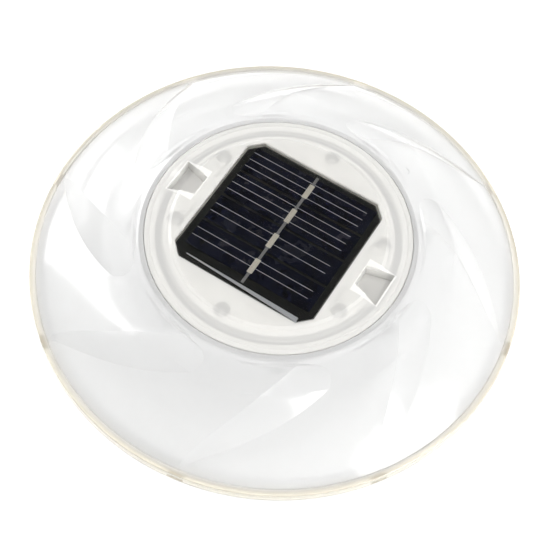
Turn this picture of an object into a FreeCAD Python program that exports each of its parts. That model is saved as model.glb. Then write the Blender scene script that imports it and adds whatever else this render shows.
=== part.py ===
"""Floating solar pool light: a clear two-shell float with a twist-lock lamp capsule in its middle.

Row frame: origin at the centre of the foot ring, +Z up, +X and +Y along the solar panel's sides.
All sizes are millimetres, kept in the spreadsheet "Sizes" and bound to the features by expressions.
"""

import FreeCAD, Part

import math
import os
import re

import Sketcher
from FreeCAD import Vector

# Driving dimensions: alias, value, meaning
SIZES = {
    "rim_radius": (96.0, "outer radius of the float"),
    "rim_height": (27.5, "middle of the rim above the foot"),
    "rim_depth": (5.2, "height of the rim's outer wall"),
    "rim_land": (6.0, "radial width of the flat rim"),
    "skirt_wall": (1.6, "wall of the rim skirt"),
    "shell_wall": (2.0, "wall of both shells"),
    "crown_height": (51.4, "top of the collar above the foot"),
    "dome_radius": (145.0, "radius of the domed walls, in section"),
    "collar_bore": (51.0, "radius of the hole that takes the lamp"),
    "collar_wall": (1.8, "wall of the collar"),
    "seat_drop": (8.6, "top of the ledge under the lamp, below the collar's top"),
    "seat_wall": (1.8, "thickness of the ledge"),
    "drum_room_inset": (5.8, "upper well inside the collar's bore"),
    "well_radius": (38.0, "radius of the lower well, open at the bottom"),
    "well_wall": (1.6, "wall of the well"),
    "step_drop": (11.8, "top of the well's step below the ledge"),
    "sleeve_depth": (4.5, "sleeve of the upper shell round the well"),
    "foot_radius": (50.0, "outer radius of the foot ring"),
    "gap": (0.3, "clearance between pieces that move or slip together"),
    "seal_gap": (0.4, "thickness of the rim seal"),
    "collar_seal_gap": (0.8, "thickness of the collar seal"),
    "swirl_rise": (1.6, "height of a swirl ridge"),
    "swirl_width": (6.0, "width of a swirl ridge"),
    "catch_width": (6.0, "width of a rim catch window"),
    "catch_rise": (1.8, "height of a rim catch window"),
    "hook_reach": (2.1, "how far a collar hook stands in"),
    "hook_rise": (2.0, "height of a collar hook"),
    "hook_span": (30.0, "angle of a collar hook"),
    "lug_span": (28.0, "angle of a bayonet lug"),
    "lug_wall": (1.6, "thickness of the bayonet lugs and their flange"),
    "lug_lift": (0.8, "lugs above the ledge"),
    "lock_gap": (0.4, "hooks above the lugs and below the lip"),
    "lip_wall": (1.8, "wall of the cover's lip"),
    "cover_wall": (1.8, "wall of the hub cover"),
    "window_inset": (10.4, "cover's flat window inside the collar's bore"),
    "window_rise": (2.2, "top of the window above the collar's top"),
    "window_step": (0.6, "step round the window"),
    "cover_ring_wall": (3.0, "wall of the ring that presses on the capsule seal"),
    "capsule_seal_gap": (0.6, "thickness of the capsule seal"),
    "notch_offset": (5.3, "finger notch from the panel's edge"),
    "notch_reach": (0.8, "finger notch beyond the upper well"),
    "notch_inner_width": (9.0, "finger notch width at its inner end"),
    "notch_outer_width": (14.8, "finger notch width at its outer end"),
    "notch_wall": (1.4, "wall round a finger notch"),
    "notch_floor": (1.5, "floor under a finger notch"),
    "boss_radius": (3.0, "screw boss"),
    "boss_inset": (5.2, "boss circle inside the upper drum"),
    "cover_screw_radius": (1.4, "shank of a cover screw"),
    "cover_screw_depth": (11.5, "length of a cover screw in its boss"),
    "cover_screw_head": (2.8, "radius of a cover screw's head"),
    "rib_length": (12.5, "panel locating rib"),
    "rib_width": (1.2, "panel locating rib"),
    "rib_depth": (3.2, "panel locating rib below the window"),
    "rib_offset": (2.9, "panel locating rib outside the panel's edge"),
    "rib_inset": (2.0, "panel locating rib from the middle of its half side"),
    "panel_side": (60.0, "side of the solar panel"),
    "panel_corner": (5.0, "cut corner of the solar panel"),
    "board_wall": (1.0, "thickness of the panel's board"),
    "cell_margin": (3.0, "panel's edge beside a solar cell's end"),
    "cell_space": (1.2, "space between solar cells"),
    "cell_wall": (0.25, "solar cell"),
    "cell_border": (8.0, "panel's side less four cell pitches"),
    "cell_shift": (2.2, "middle of the cells from the middle of the panel"),
    "ribbon_width": (1.6, "tabbing ribbon"),
    "ribbon_margin": (2.5, "panel's edge beyond the tabbing ribbon"),
    "ribbon_wall": (0.15, "tabbing ribbon"),
    "bus_margin": (5.0, "panel's edge beyond the bus strip"),
    "bus_width": (1.6, "bus strip at its wide end"),
    "resin_wall": (0.6, "clear resin over the cells"),
    "pad_side": (10.0, "foam pad behind the panel"),
    "pad_inset": (10.0, "middle of a foam pad inside the panel's edge"),
    "reflector_inset": (2.6, "reflector plate inside the upper drum"),
    "reflector_wall": (1.4, "reflector plate"),
    "drum_wall": (1.6, "wall of the lamp base"),
    "lower_drum_gap": (2.0, "lamp base's lower drum inside the well"),
    "upper_drum_gap": (0.6, "lamp base's upper drum inside the upper well"),
    "base_height": (8.0, "bottom of the lamp base above the foot"),
    "floor_wall": (1.8, "floor of the lamp base"),
    "shoulder_drop": (9.2, "underside of the lamp base's shoulder below the lugs"),
    "lug_flange_reach": (2.0, "lug flange beyond the upper well"),
    "battery_play": (0.8, "battery tube round the battery"),
    "tube_wall": (1.6, "wall of the battery tube"),
    "battery_stand": (0.5, "battery above its tube"),
    "cap_bore_reach": (2.9, "bore for the battery cap outside the battery tube's room"),
    "cap_bore_depth": (4.0, "depth of the bore for the battery cap"),
    "cap_rim": (2.6, "battery cap's rim outside its bore"),
    "cap_wall": (2.0, "rim of the battery cap"),
    "coin_length": (16.0, "coin slot"),
    "coin_width": (2.2, "coin slot"),
    "coin_depth": (1.2, "coin slot"),
    "grip_radius": (1.5, "grip scallop in the battery cap"),
    "cap_seal_wall": (0.85, "radial thickness of the cap seal"),
    "cap_seal_rise": (1.1, "height of the cap seal"),
    "contact_wall": (0.5, "thickness of the contact plates"),
    "contact_radius": (6.5, "radius of the contact plates"),
    "battery_radius": (7.2, "battery"),
    "battery_length": (27.0, "battery without its button"),
    "battery_button": (1.0, "height of the battery's button"),
    "battery_button_radius": (2.7, "radius of the battery's button"),
    "spring_radius": (4.5, "battery spring, to the wire's middle"),
    "spring_wire": (0.35, "radius of the spring wire"),
    "spring_turns": (4.0, "turns of the battery spring"),
    "spring_rise": (3.6, "height of the fitted battery spring"),
    "top_cap_wall": (1.5, "wall of the contact cap's skirt"),
    "top_cap_skirt": (8.0, "skirt of the contact cap"),
    "light_board_height": (27.0, "underside of the light board above the foot"),
    "light_board_radius": (32.0, "outer radius of the light board"),
    "light_board_play": (0.8, "light board round the battery tube"),
    "light_board_wall": (1.6, "thickness of the light board"),
    "post_circle": (28.0, "radius of the board post circle"),
    "post_radius": (3.0, "board post"),
    "board_screw_radius": (1.2, "shank of a board screw"),
    "board_screw_head": (2.7, "radius of a board screw's head"),
    "board_screw_length": (9.0, "length of a board screw"),
    "led_circle": (20.0, "radius of the LED circle"),
    "led_radius": (2.5, "LED"),
    "led_length": (5.6, "LED without its dome"),
    "chip_length": (6.0, "control chip"),
    "chip_width": (4.0, "control chip"),
    "chip_rise": (1.6, "control chip"),
    "coil_radius": (2.0, "drive inductor"),
    "coil_length": (8.0, "drive inductor"),
    "lead_radius": (0.7, "insulated lead"),
    "button_place": (22.0, "push button from the axis"),
    "button_radius": (4.6, "push button"),
    "button_drop": (1.7, "push button below the lamp base"),
    "button_flange": (6.4, "retaining flange of the push button"),
    "button_flange_wall": (1.2, "retaining flange of the push button"),
    "button_stem": (1.8, "stem of the push button"),
    "button_travel": (1.2, "travel of the push button"),
    "guide_rise": (4.0, "guide round the push button"),
    "guide_wall": (1.3, "guide round the push button"),
    "switch_side": (6.0, "side of the tact switch"),
    "switch_rise": (3.0, "height of the tact switch"),
    "plunger_radius": (1.6, "plunger of the tact switch"),
    "plunger_length": (2.8, "plunger of the tact switch"),
    "switch_roof": (0.6, "switch body over its plunger"),
    "switch_play": (0.7, "button's top below the switch when pressed"),
    "button_play": (0.1, "push button in its hole, beside the common gap"),
    "button_chamfer": (0.6, "broken edge of the push button"),
    "guide_play": (0.2, "push button's flange in its guide, beside the common gap"),
    "dome_wall": (2.2, "wall of the upper dome beside the collar, upright"),
    "catch_lift": (1.1, "rim catch window above the skirt's edge"),
    "stop_lap": (0.5, "angle by which a stop laps its hook"),
    "swirl_inset": (1.5, "ridge's rim end inside the flat rim"),
    "upper_swirl_start": (5.0, "ridge's inner end outside the collar"),
    "lower_swirl_start": (7.0, "ridge's inner end outside the foot ring"),
    "rim_seal_inset": (0.5, "rim seal inside the flat rim"),
    "rim_seal_width": (2.5, "rim seal"),
    "seal_play": (0.2, "flat seals inside the walls that hold them"),
    "lip_play": (0.2, "cover's lip in the collar, beside the common gap"),
    "boss_play": (0.2, "screw bosses above the lamp base's shoulder"),
    "root": (0.2, "bosses and ribs run this far into the cover"),
    "post_root": (0.5, "posts and guide run this far into the lamp base's floor"),
    "pocket_drop": (1.5, "top of a notch's pocket below the cover's slope"),
    "cut_room": (1.0, "a cut runs this far past a face"),
    "bus_inset": (1.2, "bus strip inside the panel's edge"),
    "bus_rise": (0.2, "narrow end of the bus strip above its wide end"),
    "bus_tip": (0.4, "bus strip at its narrow end"),
    "ribbon_shift": (1.5, "middle of the tabbing ribbon from the middle of the panel"),
    "resin_inset": (0.2, "resin inside the panel's edge"),
    "recess_depth": (1.0, "cross recess of a screw"),
    "recess_length": (3.2, "cross recess of a screw"),
    "recess_width": (0.8, "cross recess of a screw"),
    "recess_room": (0.2, "a cross recess is cut this far past the head"),
    "cover_screw_rise": (2.0, "height of a cover screw's head"),
    "board_screw_rise": (1.8, "height of a board screw's head"),
    "board_hole_play": (0.2, "board screw in the light board"),
    "led_rim": (0.4, "rim of an LED beyond its stem"),
    "led_rim_wall": (1.0, "rim of an LED"),
    "chip_lift": (0.2, "control chip above its board"),
    "leg_pitch": (1.3, "from one chip leg to the next"),
    "leg_width": (0.5, "chip leg"),
    "leg_wall": (0.4, "chip leg"),
    "leg_reach": (1.0, "chip leg beyond the chip"),
    "coil_waist": (1.7, "radius of the drive inductor between its ends"),
    "coil_end": (1.3, "thickness of the drive inductor's ends"),
    "lead_bend": (2.1, "bend of the battery lead"),
    "lead_reach": (3.15, "battery lead out from the contact cap"),
    "strip_gap": (0.1, "contact strip beside the battery tube"),
    "strip_wall": (0.4, "contact strip"),
    "strip_width": (3.0, "contact strip"),
    "strip_rise": (1.0, "contact strip above the light board"),
    "battery_shoulder": (0.8, "shoulder of the battery"),
    "edge_break": (0.5, "broken edges of caps and battery"),
    "groove_drop": (2.3, "bottom of the cap's groove below the plug's top"),
    "groove_play": (0.05, "cap seal below and above in its groove"),
    "seal_stand": (0.15, "cap seal beyond the plug"),
    "grip_place": (0.825, "middle of a grip scallop beyond the battery cap"),
    "grip_room": (0.5, "grip scallops stop this far above the cap's rim"),
}

RIGHT, LEFT = 1, -1  # sides that an arc can bulge to
SWIRLS = 8  # ridges on each shell
SWIRL_START = 9.6  # angle of the first ridge's rim end
SWIRL_SWEEP = 27.0  # angle from a ridge's rim end to its inner end
SWIRL_CURL = 2.1  # power that makes a ridge curl more towards its inner end
SWIRL_SECTIONS = 6
SWIRL_SWELL = (0.15, 0.9)  # stretch of a half wave that a ridge's height follows
SWIRL_TAPER = 0.3  # a ridge's least width, as a share
SWIRL_LEAN = 0.6  # width of a ridge's steep side, as a share of the other
HOOKS = 4  # bayonet hooks on the collar, and lugs on the lamp base
HOOK_START = 59.0  # angle of the first hook's middle
STOP_SPAN = 3.0  # angle of the stop beside each hook
BOSS_ANGLES = (25.0, 90.0, 155.0, 205.0, 270.0, 335.0)
POST_ANGLES = (60.0, 180.0, 300.0)
LED_ANGLES = (30.0, 90.0, 150.0, 210.0, 270.0, 330.0)
LEAD_PLACES = {"panel_lead_plus": (-4.5, -25.6), "panel_lead_minus": (-9.7, -24.1)}
BATTERY_LEAD_ANGLE = 135.0
CHIP_PLACE = (-18.0, 10.0)
COIL_PLACE = (-22.0, -11.0)
GRIPS = 12
NUDGE = 0.5  # how far a fused piece reaches into its neighbour, and a cut runs past a face

# Places worked out from the sizes
PLACES = {
    "rim_top": "rim_height + rim_depth / 2",
    "rim_bottom": "rim_height - rim_depth / 2",
    "rim_inner": "rim_radius - rim_land",
    "skirt_inner": "rim_radius - skirt_wall",
    "flange_bottom": "rim_top - shell_wall",
    "lower_rim": "skirt_inner - gap",
    "catch_bottom": "rim_bottom + catch_lift",
    "dome_under": "crown_height - dome_wall",
    "lower_rim_top": "flange_bottom - seal_gap",
    "collar_outer": "collar_bore + collar_wall",
    "seat_height": "crown_height - seat_drop",
    "seat_bottom": "seat_height - seat_wall",
    "step_height": "seat_height - step_drop",
    "drum_room": "collar_bore - drum_room_inset",
    "well_outer": "well_radius + well_wall",
    "drum_room_outer": "drum_room + well_wall",
    "lower_well_top": "seat_bottom - collar_seal_gap",
    "sleeve_inner": "drum_room_outer + gap",
    "upper_drum": "drum_room - upper_drum_gap",
    "lower_drum": "well_radius - lower_drum_gap",
    "lug_flange": "drum_room + lug_flange_reach",
    "lug_bottom": "seat_height + lug_lift",
    "lug_top": "lug_bottom + lug_wall",
    "hook_bottom": "lug_top + lock_gap",
    "hook_top": "hook_bottom + hook_rise",
    "hook_inner": "collar_bore - hook_reach",
    "lip_radius": "collar_bore - gap - lip_play",
    "lip_inner": "lip_radius - lip_wall",
    "lip_bottom": "hook_top + lock_gap",
    "lug_radius": "collar_bore - 2 * gap",
    "window_radius": "collar_bore - window_inset",
    "window_height": "crown_height + window_rise",
    "window_under": "window_height - cover_wall",
    "slope_start": "window_radius + window_step",
    "slope_top": "window_height - window_step",
    "slope": "(slope_top - crown_height) / (lip_radius - slope_start)",
    "ring_bottom": "lug_top + capsule_seal_gap",
    "drum_inner": "upper_drum - drum_wall",
    "ring_inner": "drum_inner + gap * 2",
    "ring_outer": "ring_inner + cover_ring_wall",
    "notch_near": "panel_side / 2 + notch_offset",
    "notch_far": "drum_room + notch_reach",
    "notch_top": "ring_bottom + notch_floor",
    "boss_circle": "upper_drum - boss_inset",
    "rib_place": "panel_side / 4 - rib_inset",
    "shoulder_height": "lug_bottom - shoulder_drop",
    "shoulder_top": "shoulder_height + drum_wall",
    "boss_bottom": "shoulder_top + boss_play",
    "floor_top": "base_height + floor_wall",
    "cell_room": "battery_radius + battery_play",
    "tube_outer": "cell_room + tube_wall",
    "tube_top": "battery_top - battery_stand",
    "cap_bore": "cell_room + cap_bore_reach",
    "cap_radius": "cap_bore + cap_rim",
    "light_board_hole": "tube_outer + light_board_play",
    "bore_top": "base_height + cap_bore_depth",
    "cap_top": "base_height - gap",
    "plug_top": "bore_top - gap",
    "cap_plug": "cap_bore - gap",
    "battery_bottom": "plug_top + contact_wall + gap",
    "battery_top": "battery_bottom + battery_button + battery_length",
    "spring_top": "battery_top + spring_rise",
    "roof_bottom": "spring_top + contact_wall",
    "roof_top": "ring_bottom + gap",
    "reflector_radius": "upper_drum - reflector_inset",
    "reflector_top": "roof_top + reflector_wall",
    "board_top": "window_under - resin_wall - ribbon_wall - cell_wall",
    "board_bottom": "board_top - board_wall",
    "pad_wall": "board_bottom - reflector_top",
    "pad_place": "panel_side / 2 - pad_inset",
    "cell_length": "panel_side - 2 * cell_margin",
    "cell_pitch": "(panel_side - cell_border) / 4",
    "cell_width": "cell_pitch - cell_space",
    "cell_first": "1.5 * cell_pitch + cell_shift",
    "ribbon_length": "panel_side - 2 * ribbon_margin",
    "bus_length": "panel_side - 2 * bus_margin",
    "cell_top": "board_top + cell_wall",
    "ribbon_top": "cell_top + ribbon_wall",
    "coil_far": "coil_length - coil_end",
    "groove_bottom": "plug_top - groove_drop",
    "groove_top": "groove_bottom + cap_seal_rise + 2 * groove_play",
    "groove_inner": "cap_plug - cap_seal_wall + seal_stand",
    "guide_inner": "button_flange + gap + guide_play",
    "cap_shell": "tube_outer + gap",
    "cap_shell_outer": "cap_shell + top_cap_wall",
    "board_face": "light_board_height + light_board_wall",
    "flange_rest": "floor_top + gap",
    "button_top": "switch_foot - button_travel - switch_play",
    "switch_foot": "light_board_height - switch_rise",
}


def formula(text):
    """Spell a size formula out in cells of the sheet."""

    def spell(match):
        word = match.group(0)
        if word in PLACES:
            return "(" + formula(PLACES[word]) + ")"
        return "Sizes." + word if word in SIZES else word

    return re.sub(r"[a-z][a-z_0-9]*", spell, str(text))


doc = FreeCAD.newDocument("pool_light")
sheet = doc.addObject("Spreadsheet::Sheet", "Sizes")
for row, (alias, (value, meaning)) in enumerate(SIZES.items(), start=1):
    sheet.set(f"A{row}", alias)
    sheet.set(f"B{row}", str(value))
    sheet.set(f"C{row}", meaning)
    sheet.setAlias(f"B{row}", alias)
doc.recompute()


def size(text):
    """The value of a size formula now."""
    return float(sheet.evalExpression(formula(text)))


def bind(thing, **formulas):
    """Bind properties of a document object to size formulas. A double underscore stands for a dot."""
    for name, text in formulas.items():
        thing.setExpression(name.replace("__", "."), formula(text))


# ---------------------------------------------------------------- sketches and body features


def origin_plane(body, role):
    return next(item for item in body.Origin.OriginFeatures if item.Role == role)


def new_body(name):
    return doc.addObject("PartDesign::Body", name)


def new_sketch(body, name, role, height=None):
    """A sketch on one of the body's origin planes, raised by a size formula."""
    sketch = body.newObject("Sketcher::SketchObject", name)
    sketch.AttachmentSupport = [(origin_plane(body, role), "")]
    sketch.MapMode = "FlatFace"
    if height is not None:
        bind(sketch, AttachmentOffset__Base__z=height)
    return sketch


def place_point(sketch, edge, end, x, y):
    """Hold one end of an edge at two size formulas from the sketch's origin."""
    for kind, text in (("DistanceX", x), ("DistanceY", y)):
        index = sketch.addConstraint(Sketcher.Constraint(kind, -1, 1, edge, end, size(text)))
        sketch.setExpression(f"Constraints[{index}]", formula(text))


def bulged(start, end, radius, side=RIGHT):
    """The arc from start to end with this radius, which bulges to one side of the way."""
    chord = end - start
    half = chord.Length / 2
    rise = radius - math.sqrt(radius**2 - half**2)
    middle = (start + end) / 2 + Vector(chord.y, -chord.x, 0).normalize() * side * rise
    first, last = (start, end) if side == RIGHT else (end, start)
    return Part.ArcOfCircle(first, middle, last)


def draw_outline(sketch, corners):
    """A closed outline. A corner is (x, y), or (x, y, radius, side) where an arc leaves it."""
    points = [Vector(size(corner[0]), size(corner[1]), 0) for corner in corners]
    ends = []
    for index, corner in enumerate(corners):
        start, end = points[index], points[(index + 1) % len(points)]
        if len(corner) == 2:
            edge = sketch.addGeometry(Part.LineSegment(start, end), False)
            ends.append((edge, 1, 2))
            continue
        radius = size(corner[2])
        arc = bulged(start, end, radius, corner[3])
        edge = sketch.addGeometry(arc, False)
        turned = (arc.StartPoint - start).Length > (arc.EndPoint - start).Length
        ends.append((edge, 2, 1) if turned else (edge, 1, 2))
        index_radius = sketch.addConstraint(Sketcher.Constraint("Radius", edge, radius))
        sketch.setExpression(f"Constraints[{index_radius}]", formula(corner[2]))
    for index, (edge, first, _) in enumerate(ends):
        before, _, last = ends[index - 1]
        sketch.addConstraint(Sketcher.Constraint("Coincident", before, last, edge, first))
        place_point(sketch, edge, first, corners[index][0], corners[index][1])


def draw_circle(sketch, x, y, radius):
    """A circle whose centre and radius follow size formulas."""
    circle = Part.Circle(Vector(size(x), size(y), 0), Vector(0, 0, 1), size(radius))
    edge = sketch.addGeometry(circle, False)
    place_point(sketch, edge, 3, x, y)
    index = sketch.addConstraint(Sketcher.Constraint("Radius", edge, size(radius)))
    sketch.setExpression(f"Constraints[{index}]", formula(radius))


def revolve(body, name, corners):
    """Turn an outline in radius and height round the body's vertical axis."""
    sketch = new_sketch(body, name + "_profile", "XZ_Plane")
    draw_outline(sketch, corners)
    turned = body.newObject("PartDesign::Revolution", name)
    turned.Profile = sketch
    turned.ReferenceAxis = (sketch, ["V_Axis"])
    turned.Angle = 360
    sketch.Visibility = False
    doc.recompute()
    return turned


def turned_body(name, corners):
    """A body that is one turned outline."""
    body = new_body(name)
    revolve(body, name + "_turned", corners)
    return body


def pad(body, name, height, length, draw):
    """Pad what draw puts on a level sketch, upwards from a height."""
    sketch = new_sketch(body, name + "_outline", "XY_Plane", height)
    draw(sketch)
    raised = body.newObject("PartDesign::Pad", name)
    raised.Profile = sketch
    bind(raised, Length=length)
    doc.recompute()
    return raised


def pocket(body, name, height, depth, draw):
    """Cut what draw puts on a level sketch, upwards from a height."""
    sketch = new_sketch(body, name + "_outline", "XY_Plane", height)
    draw(sketch)
    before = body.Shape.Volume
    cut = body.newObject("PartDesign::Pocket", name)
    cut.Profile = sketch
    cut.Reversed = True
    bind(cut, Length=depth)
    doc.recompute()
    if not cut.Shape.Volume < before - 1e-6:
        raise ValueError(f"{name} cuts nothing")
    return cut


def around(radius, angle):
    """Size formulas for the point at a radius and an angle."""
    return f"({radius}) * cos({angle:g}deg)", f"({radius}) * sin({angle:g}deg)"


def circles(radius, circle, angles):
    """A drawing of equal circles round the axis."""

    def draw(sketch):
        for angle in angles:
            draw_circle(sketch, *around(circle, angle), radius)

    return draw


def fan(near, far, inner_width, outer_width, side):
    """A drawing of a fan-shaped outline on the +X or -X side."""

    def draw(sketch):
        corners = [
            (near, f"-({inner_width}) / 2"),
            (far, f"-({outer_width}) / 2"),
            (far, f"({outer_width}) / 2"),
            (near, f"({inner_width}) / 2"),
        ]
        draw_outline(sketch, [(f"{side} * ({x})", y) for x, y in corners])

    return draw


# ---------------------------------------------------------------- primitives and booleans


def cylinder(name, radius, bottom, height, x="0", y="0"):
    """An upright cylinder."""
    made = doc.addObject("Part::Cylinder", name)
    bind(made, Radius=radius, Height=height)
    bind(made, Placement__Base__x=x, Placement__Base__y=y, Placement__Base__z=bottom)
    return made


def block(name, length, width, height, x, y, bottom):
    """A box centred on x, y."""
    made = doc.addObject("Part::Box", name)
    bind(made, Length=length, Width=width, Height=height)
    bind(made, Placement__Base__x=f"({x}) - ({length}) / 2", Placement__Base__y=f"({y}) - ({width}) / 2")
    bind(made, Placement__Base__z=bottom)
    return made


def turned_block(name, sides, radius, angle, bottom):
    """A box turned to an angle, centred on a radius."""
    length, width, height = sides
    made = doc.addObject("Part::Box", name)
    bind(made, Length=length, Width=width, Height=height)
    made.Placement = FreeCAD.Placement(Vector(), FreeCAD.Rotation(Vector(0, 0, 1), angle))
    half = f"(({radius}) - ({length}) / 2)"
    cosine, sine = f"cos({angle:g}deg)", f"sin({angle:g}deg)"
    bind(
        made,
        Placement__Base__x=f"{half} * {cosine} + ({width}) / 2 * {sine}",
        Placement__Base__y=f"{half} * {sine} - ({width}) / 2 * {cosine}",
        Placement__Base__z=bottom,
    )
    return made


def arc_block(name, inner, outer, bottom, height, middle, span):
    """A sector of a ring, centred on an angle."""
    pieces = []
    for part, radius in (("outer", outer), ("inner", inner)):
        made = doc.addObject("Part::Cylinder", f"{name}_{part}")
        bind(made, Radius=radius, Height=height, Angle=span)
        turn = FreeCAD.Rotation(Vector(0, 0, 1), middle - size(span) / 2)
        made.Placement = FreeCAD.Placement(Vector(), turn)
        bind(made, Placement__Base__z=bottom)
        pieces.append(made)
    return cut(name, *pieces)


def cut(name, base, *tools):
    """base less the tools."""
    made = doc.addObject("Part::Cut", name)
    made.Base = base
    made.Tool = tools[0] if len(tools) == 1 else fuse(name + "_tools", *tools)
    return made


def fuse(name, *pieces):
    made = doc.addObject("Part::MultiFuse", name)
    made.Shapes = list(pieces)
    return made


def group(name, *pieces):
    """Separate solids under one name."""
    made = doc.addObject("Part::Compound", name)
    made.Links = list(pieces)
    return made


def feature(name, shape, height=0.0, turn=0.0):
    """A document object for a shape that Part's own functions build, raised and turned into place."""
    made = doc.addObject("Part::Feature", name)
    made.Shape = shape
    made.Placement = FreeCAD.Placement(Vector(0, 0, height), FreeCAD.Rotation(Vector(0, 0, 1), turn))
    return made


def polar(radius, angle, height):
    turn = math.radians(angle)
    return Vector(radius * math.cos(turn), radius * math.sin(turn), height)


# ---------------------------------------------------------------- the float


def dome_height(radius, upper):
    """Height of a shell's outer face at a radius, on its section arc."""
    if upper:
        start = Vector(size("rim_inner"), size("rim_top"), 0)
        end = Vector(size("collar_outer"), size("crown_height"), 0)
    else:
        start = Vector(size("foot_radius"), 0, 0)
        end = Vector(size("rim_inner"), size("lower_rim_top - shell_wall"), 0)
    arc = bulged(start, end, size("dome_radius"))
    middle = arc.Center
    drop = math.sqrt(size("dome_radius") ** 2 - (radius - middle.x) ** 2)
    return middle.y + drop if upper else middle.y - drop


def swirl_turn(share):
    """How far a ridge has turned at a share of the way out, 0 at the rim."""
    return SWIRL_SWEEP * (1 - share) ** SWIRL_CURL


def swirl_ridges(name, upper):
    """The swirling ridges of one shell, as lofts through short sections across the ridge's line."""
    inner = size("collar_outer + upper_swirl_start" if upper else "foot_radius + lower_swirl_start")
    outer = size("rim_inner - swirl_inset")
    side = 1 if upper else -1
    width, rise = size("swirl_width"), size("swirl_rise")
    ridges = []
    for turn in range(SWIRLS):
        sections = []
        for step in range(SWIRL_SECTIONS):
            share = step / (SWIRL_SECTIONS - 1)
            radius = inner + (outer - inner) * share
            angle = SWIRL_START + 360 / SWIRLS * turn + swirl_turn(share)
            swell = math.sin(math.pi * (SWIRL_SWELL[0] * (1 - share) + SWIRL_SWELL[1] * share))
            half = math.degrees(width * (SWIRL_TAPER + (1 - SWIRL_TAPER) * swell) / 2 / radius)
            level = dome_height(radius, upper)
            root = level - side * NUDGE
            crest = level + side * rise * swell
            corners = [
                polar(radius, angle + half * SWIRL_LEAN, root),
                polar(radius, angle, crest),
                polar(radius, angle - half, root),
            ]
            sections.append(Part.makePolygon(corners + corners[:1]))
        ridges.append(Part.makeLoft(sections, True, True))
    return feature(name, Part.makeCompound(ridges))


def catch_angles():
    return [SWIRL_START + 360 / SWIRLS * turn for turn in range(SWIRLS)]


def make_upper_shell():
    """Domed top with a flat rim, a skirt, and a collar with bayonet hooks for the lamp."""
    shell = turned_body(
        "upper_shell_wall",
        [
            ("rim_radius", "rim_bottom"),
            ("rim_radius", "rim_top"),
            ("rim_inner", "rim_top", "dome_radius", RIGHT),
            ("collar_outer", "crown_height"),
            ("collar_bore", "crown_height"),
            ("collar_bore", "seat_height"),
            ("drum_room", "seat_height"),
            ("drum_room", "seat_bottom"),
            ("sleeve_inner", "seat_bottom"),
            ("sleeve_inner", "seat_bottom - sleeve_depth"),
            ("sleeve_inner + well_wall", "seat_bottom - sleeve_depth"),
            ("sleeve_inner + well_wall", "seat_bottom"),
            ("collar_outer", "seat_bottom"),
            ("collar_outer", "dome_under", "dome_radius", LEFT),
            ("rim_inner - shell_wall / 2", "flange_bottom"),
            ("skirt_inner", "flange_bottom"),
            ("skirt_inner", "rim_bottom"),
        ],
    )
    hooks = []
    for turn in range(HOOKS):
        middle = HOOK_START + 360 / HOOKS * turn
        hooks.append(
            arc_block(
                f"collar_hook_{turn}",
                "hook_inner",
                "collar_bore + collar_wall / 2",
                "hook_bottom",
                "hook_rise",
                middle,
                "hook_span",
            )
        )
        beside = middle - size("hook_span / 2 - stop_lap") - STOP_SPAN / 2
        hooks.append(
            arc_block(
                f"collar_stop_{turn}",
                "hook_inner",
                "collar_bore + collar_wall / 2",
                "seat_height - seat_wall / 2",
                "hook_top - seat_height + seat_wall / 2",
                beside,
                str(STOP_SPAN),
            )
        )
    windows = [
        turned_block(
            f"catch_window_{index}",
            ("skirt_wall * 3", "catch_width", "catch_rise"),
            "rim_radius",
            angle,
            "catch_bottom",
        )
        for index, angle in enumerate(catch_angles())
    ]
    whole = fuse("upper_shell_whole", shell, swirl_ridges("upper_swirls", True), *hooks)
    return cut("upper_shell", whole, *windows)


def make_lower_shell():
    """Domed bottom with a flat foot ring and a stepped well that is open underneath."""
    shell = turned_body(
        "lower_shell_wall",
        [
            ("foot_radius", "0", "dome_radius", RIGHT),
            ("rim_inner", "lower_rim_top - shell_wall"),
            ("lower_rim", "lower_rim_top - shell_wall"),
            ("lower_rim", "lower_rim_top"),
            ("rim_inner - shell_wall", "lower_rim_top", "dome_radius", LEFT),
            ("foot_radius - shell_wall / 2", "shell_wall"),
            ("well_outer", "shell_wall"),
            ("well_outer", "step_height - well_wall"),
            ("drum_room_outer", "step_height - well_wall"),
            ("drum_room_outer", "lower_well_top"),
            ("drum_room", "lower_well_top"),
            ("drum_room", "step_height"),
            ("well_radius", "step_height"),
            ("well_radius", "0"),
        ],
    )
    teeth = [
        turned_block(
            f"catch_tooth_{index}",
            ("skirt_wall * 1.6", "catch_width - 2 * gap", "catch_rise - 2 * gap"),
            "lower_rim + gap",
            angle,
            "catch_bottom + gap",
        )
        for index, angle in enumerate(catch_angles())
    ]
    return fuse("lower_shell", shell, swirl_ridges("lower_swirls", False), *teeth)


def ring_body(name, inner, outer, bottom, top):
    """A flat ring."""
    return turned_body(name, [(outer, bottom), (outer, top), (inner, top), (inner, bottom)])


def make_rim_seal():
    inner = "rim_inner + rim_seal_inset"
    return ring_body("rim_seal", inner, f"{inner} + rim_seal_width", "lower_rim_top", "flange_bottom")


def make_collar_seal():
    return ring_body(
        "collar_seal", "drum_room + seal_play", "drum_room_outer - seal_play", "lower_well_top", "seat_bottom"
    )


# ---------------------------------------------------------------- the lamp's cover and panel


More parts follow.
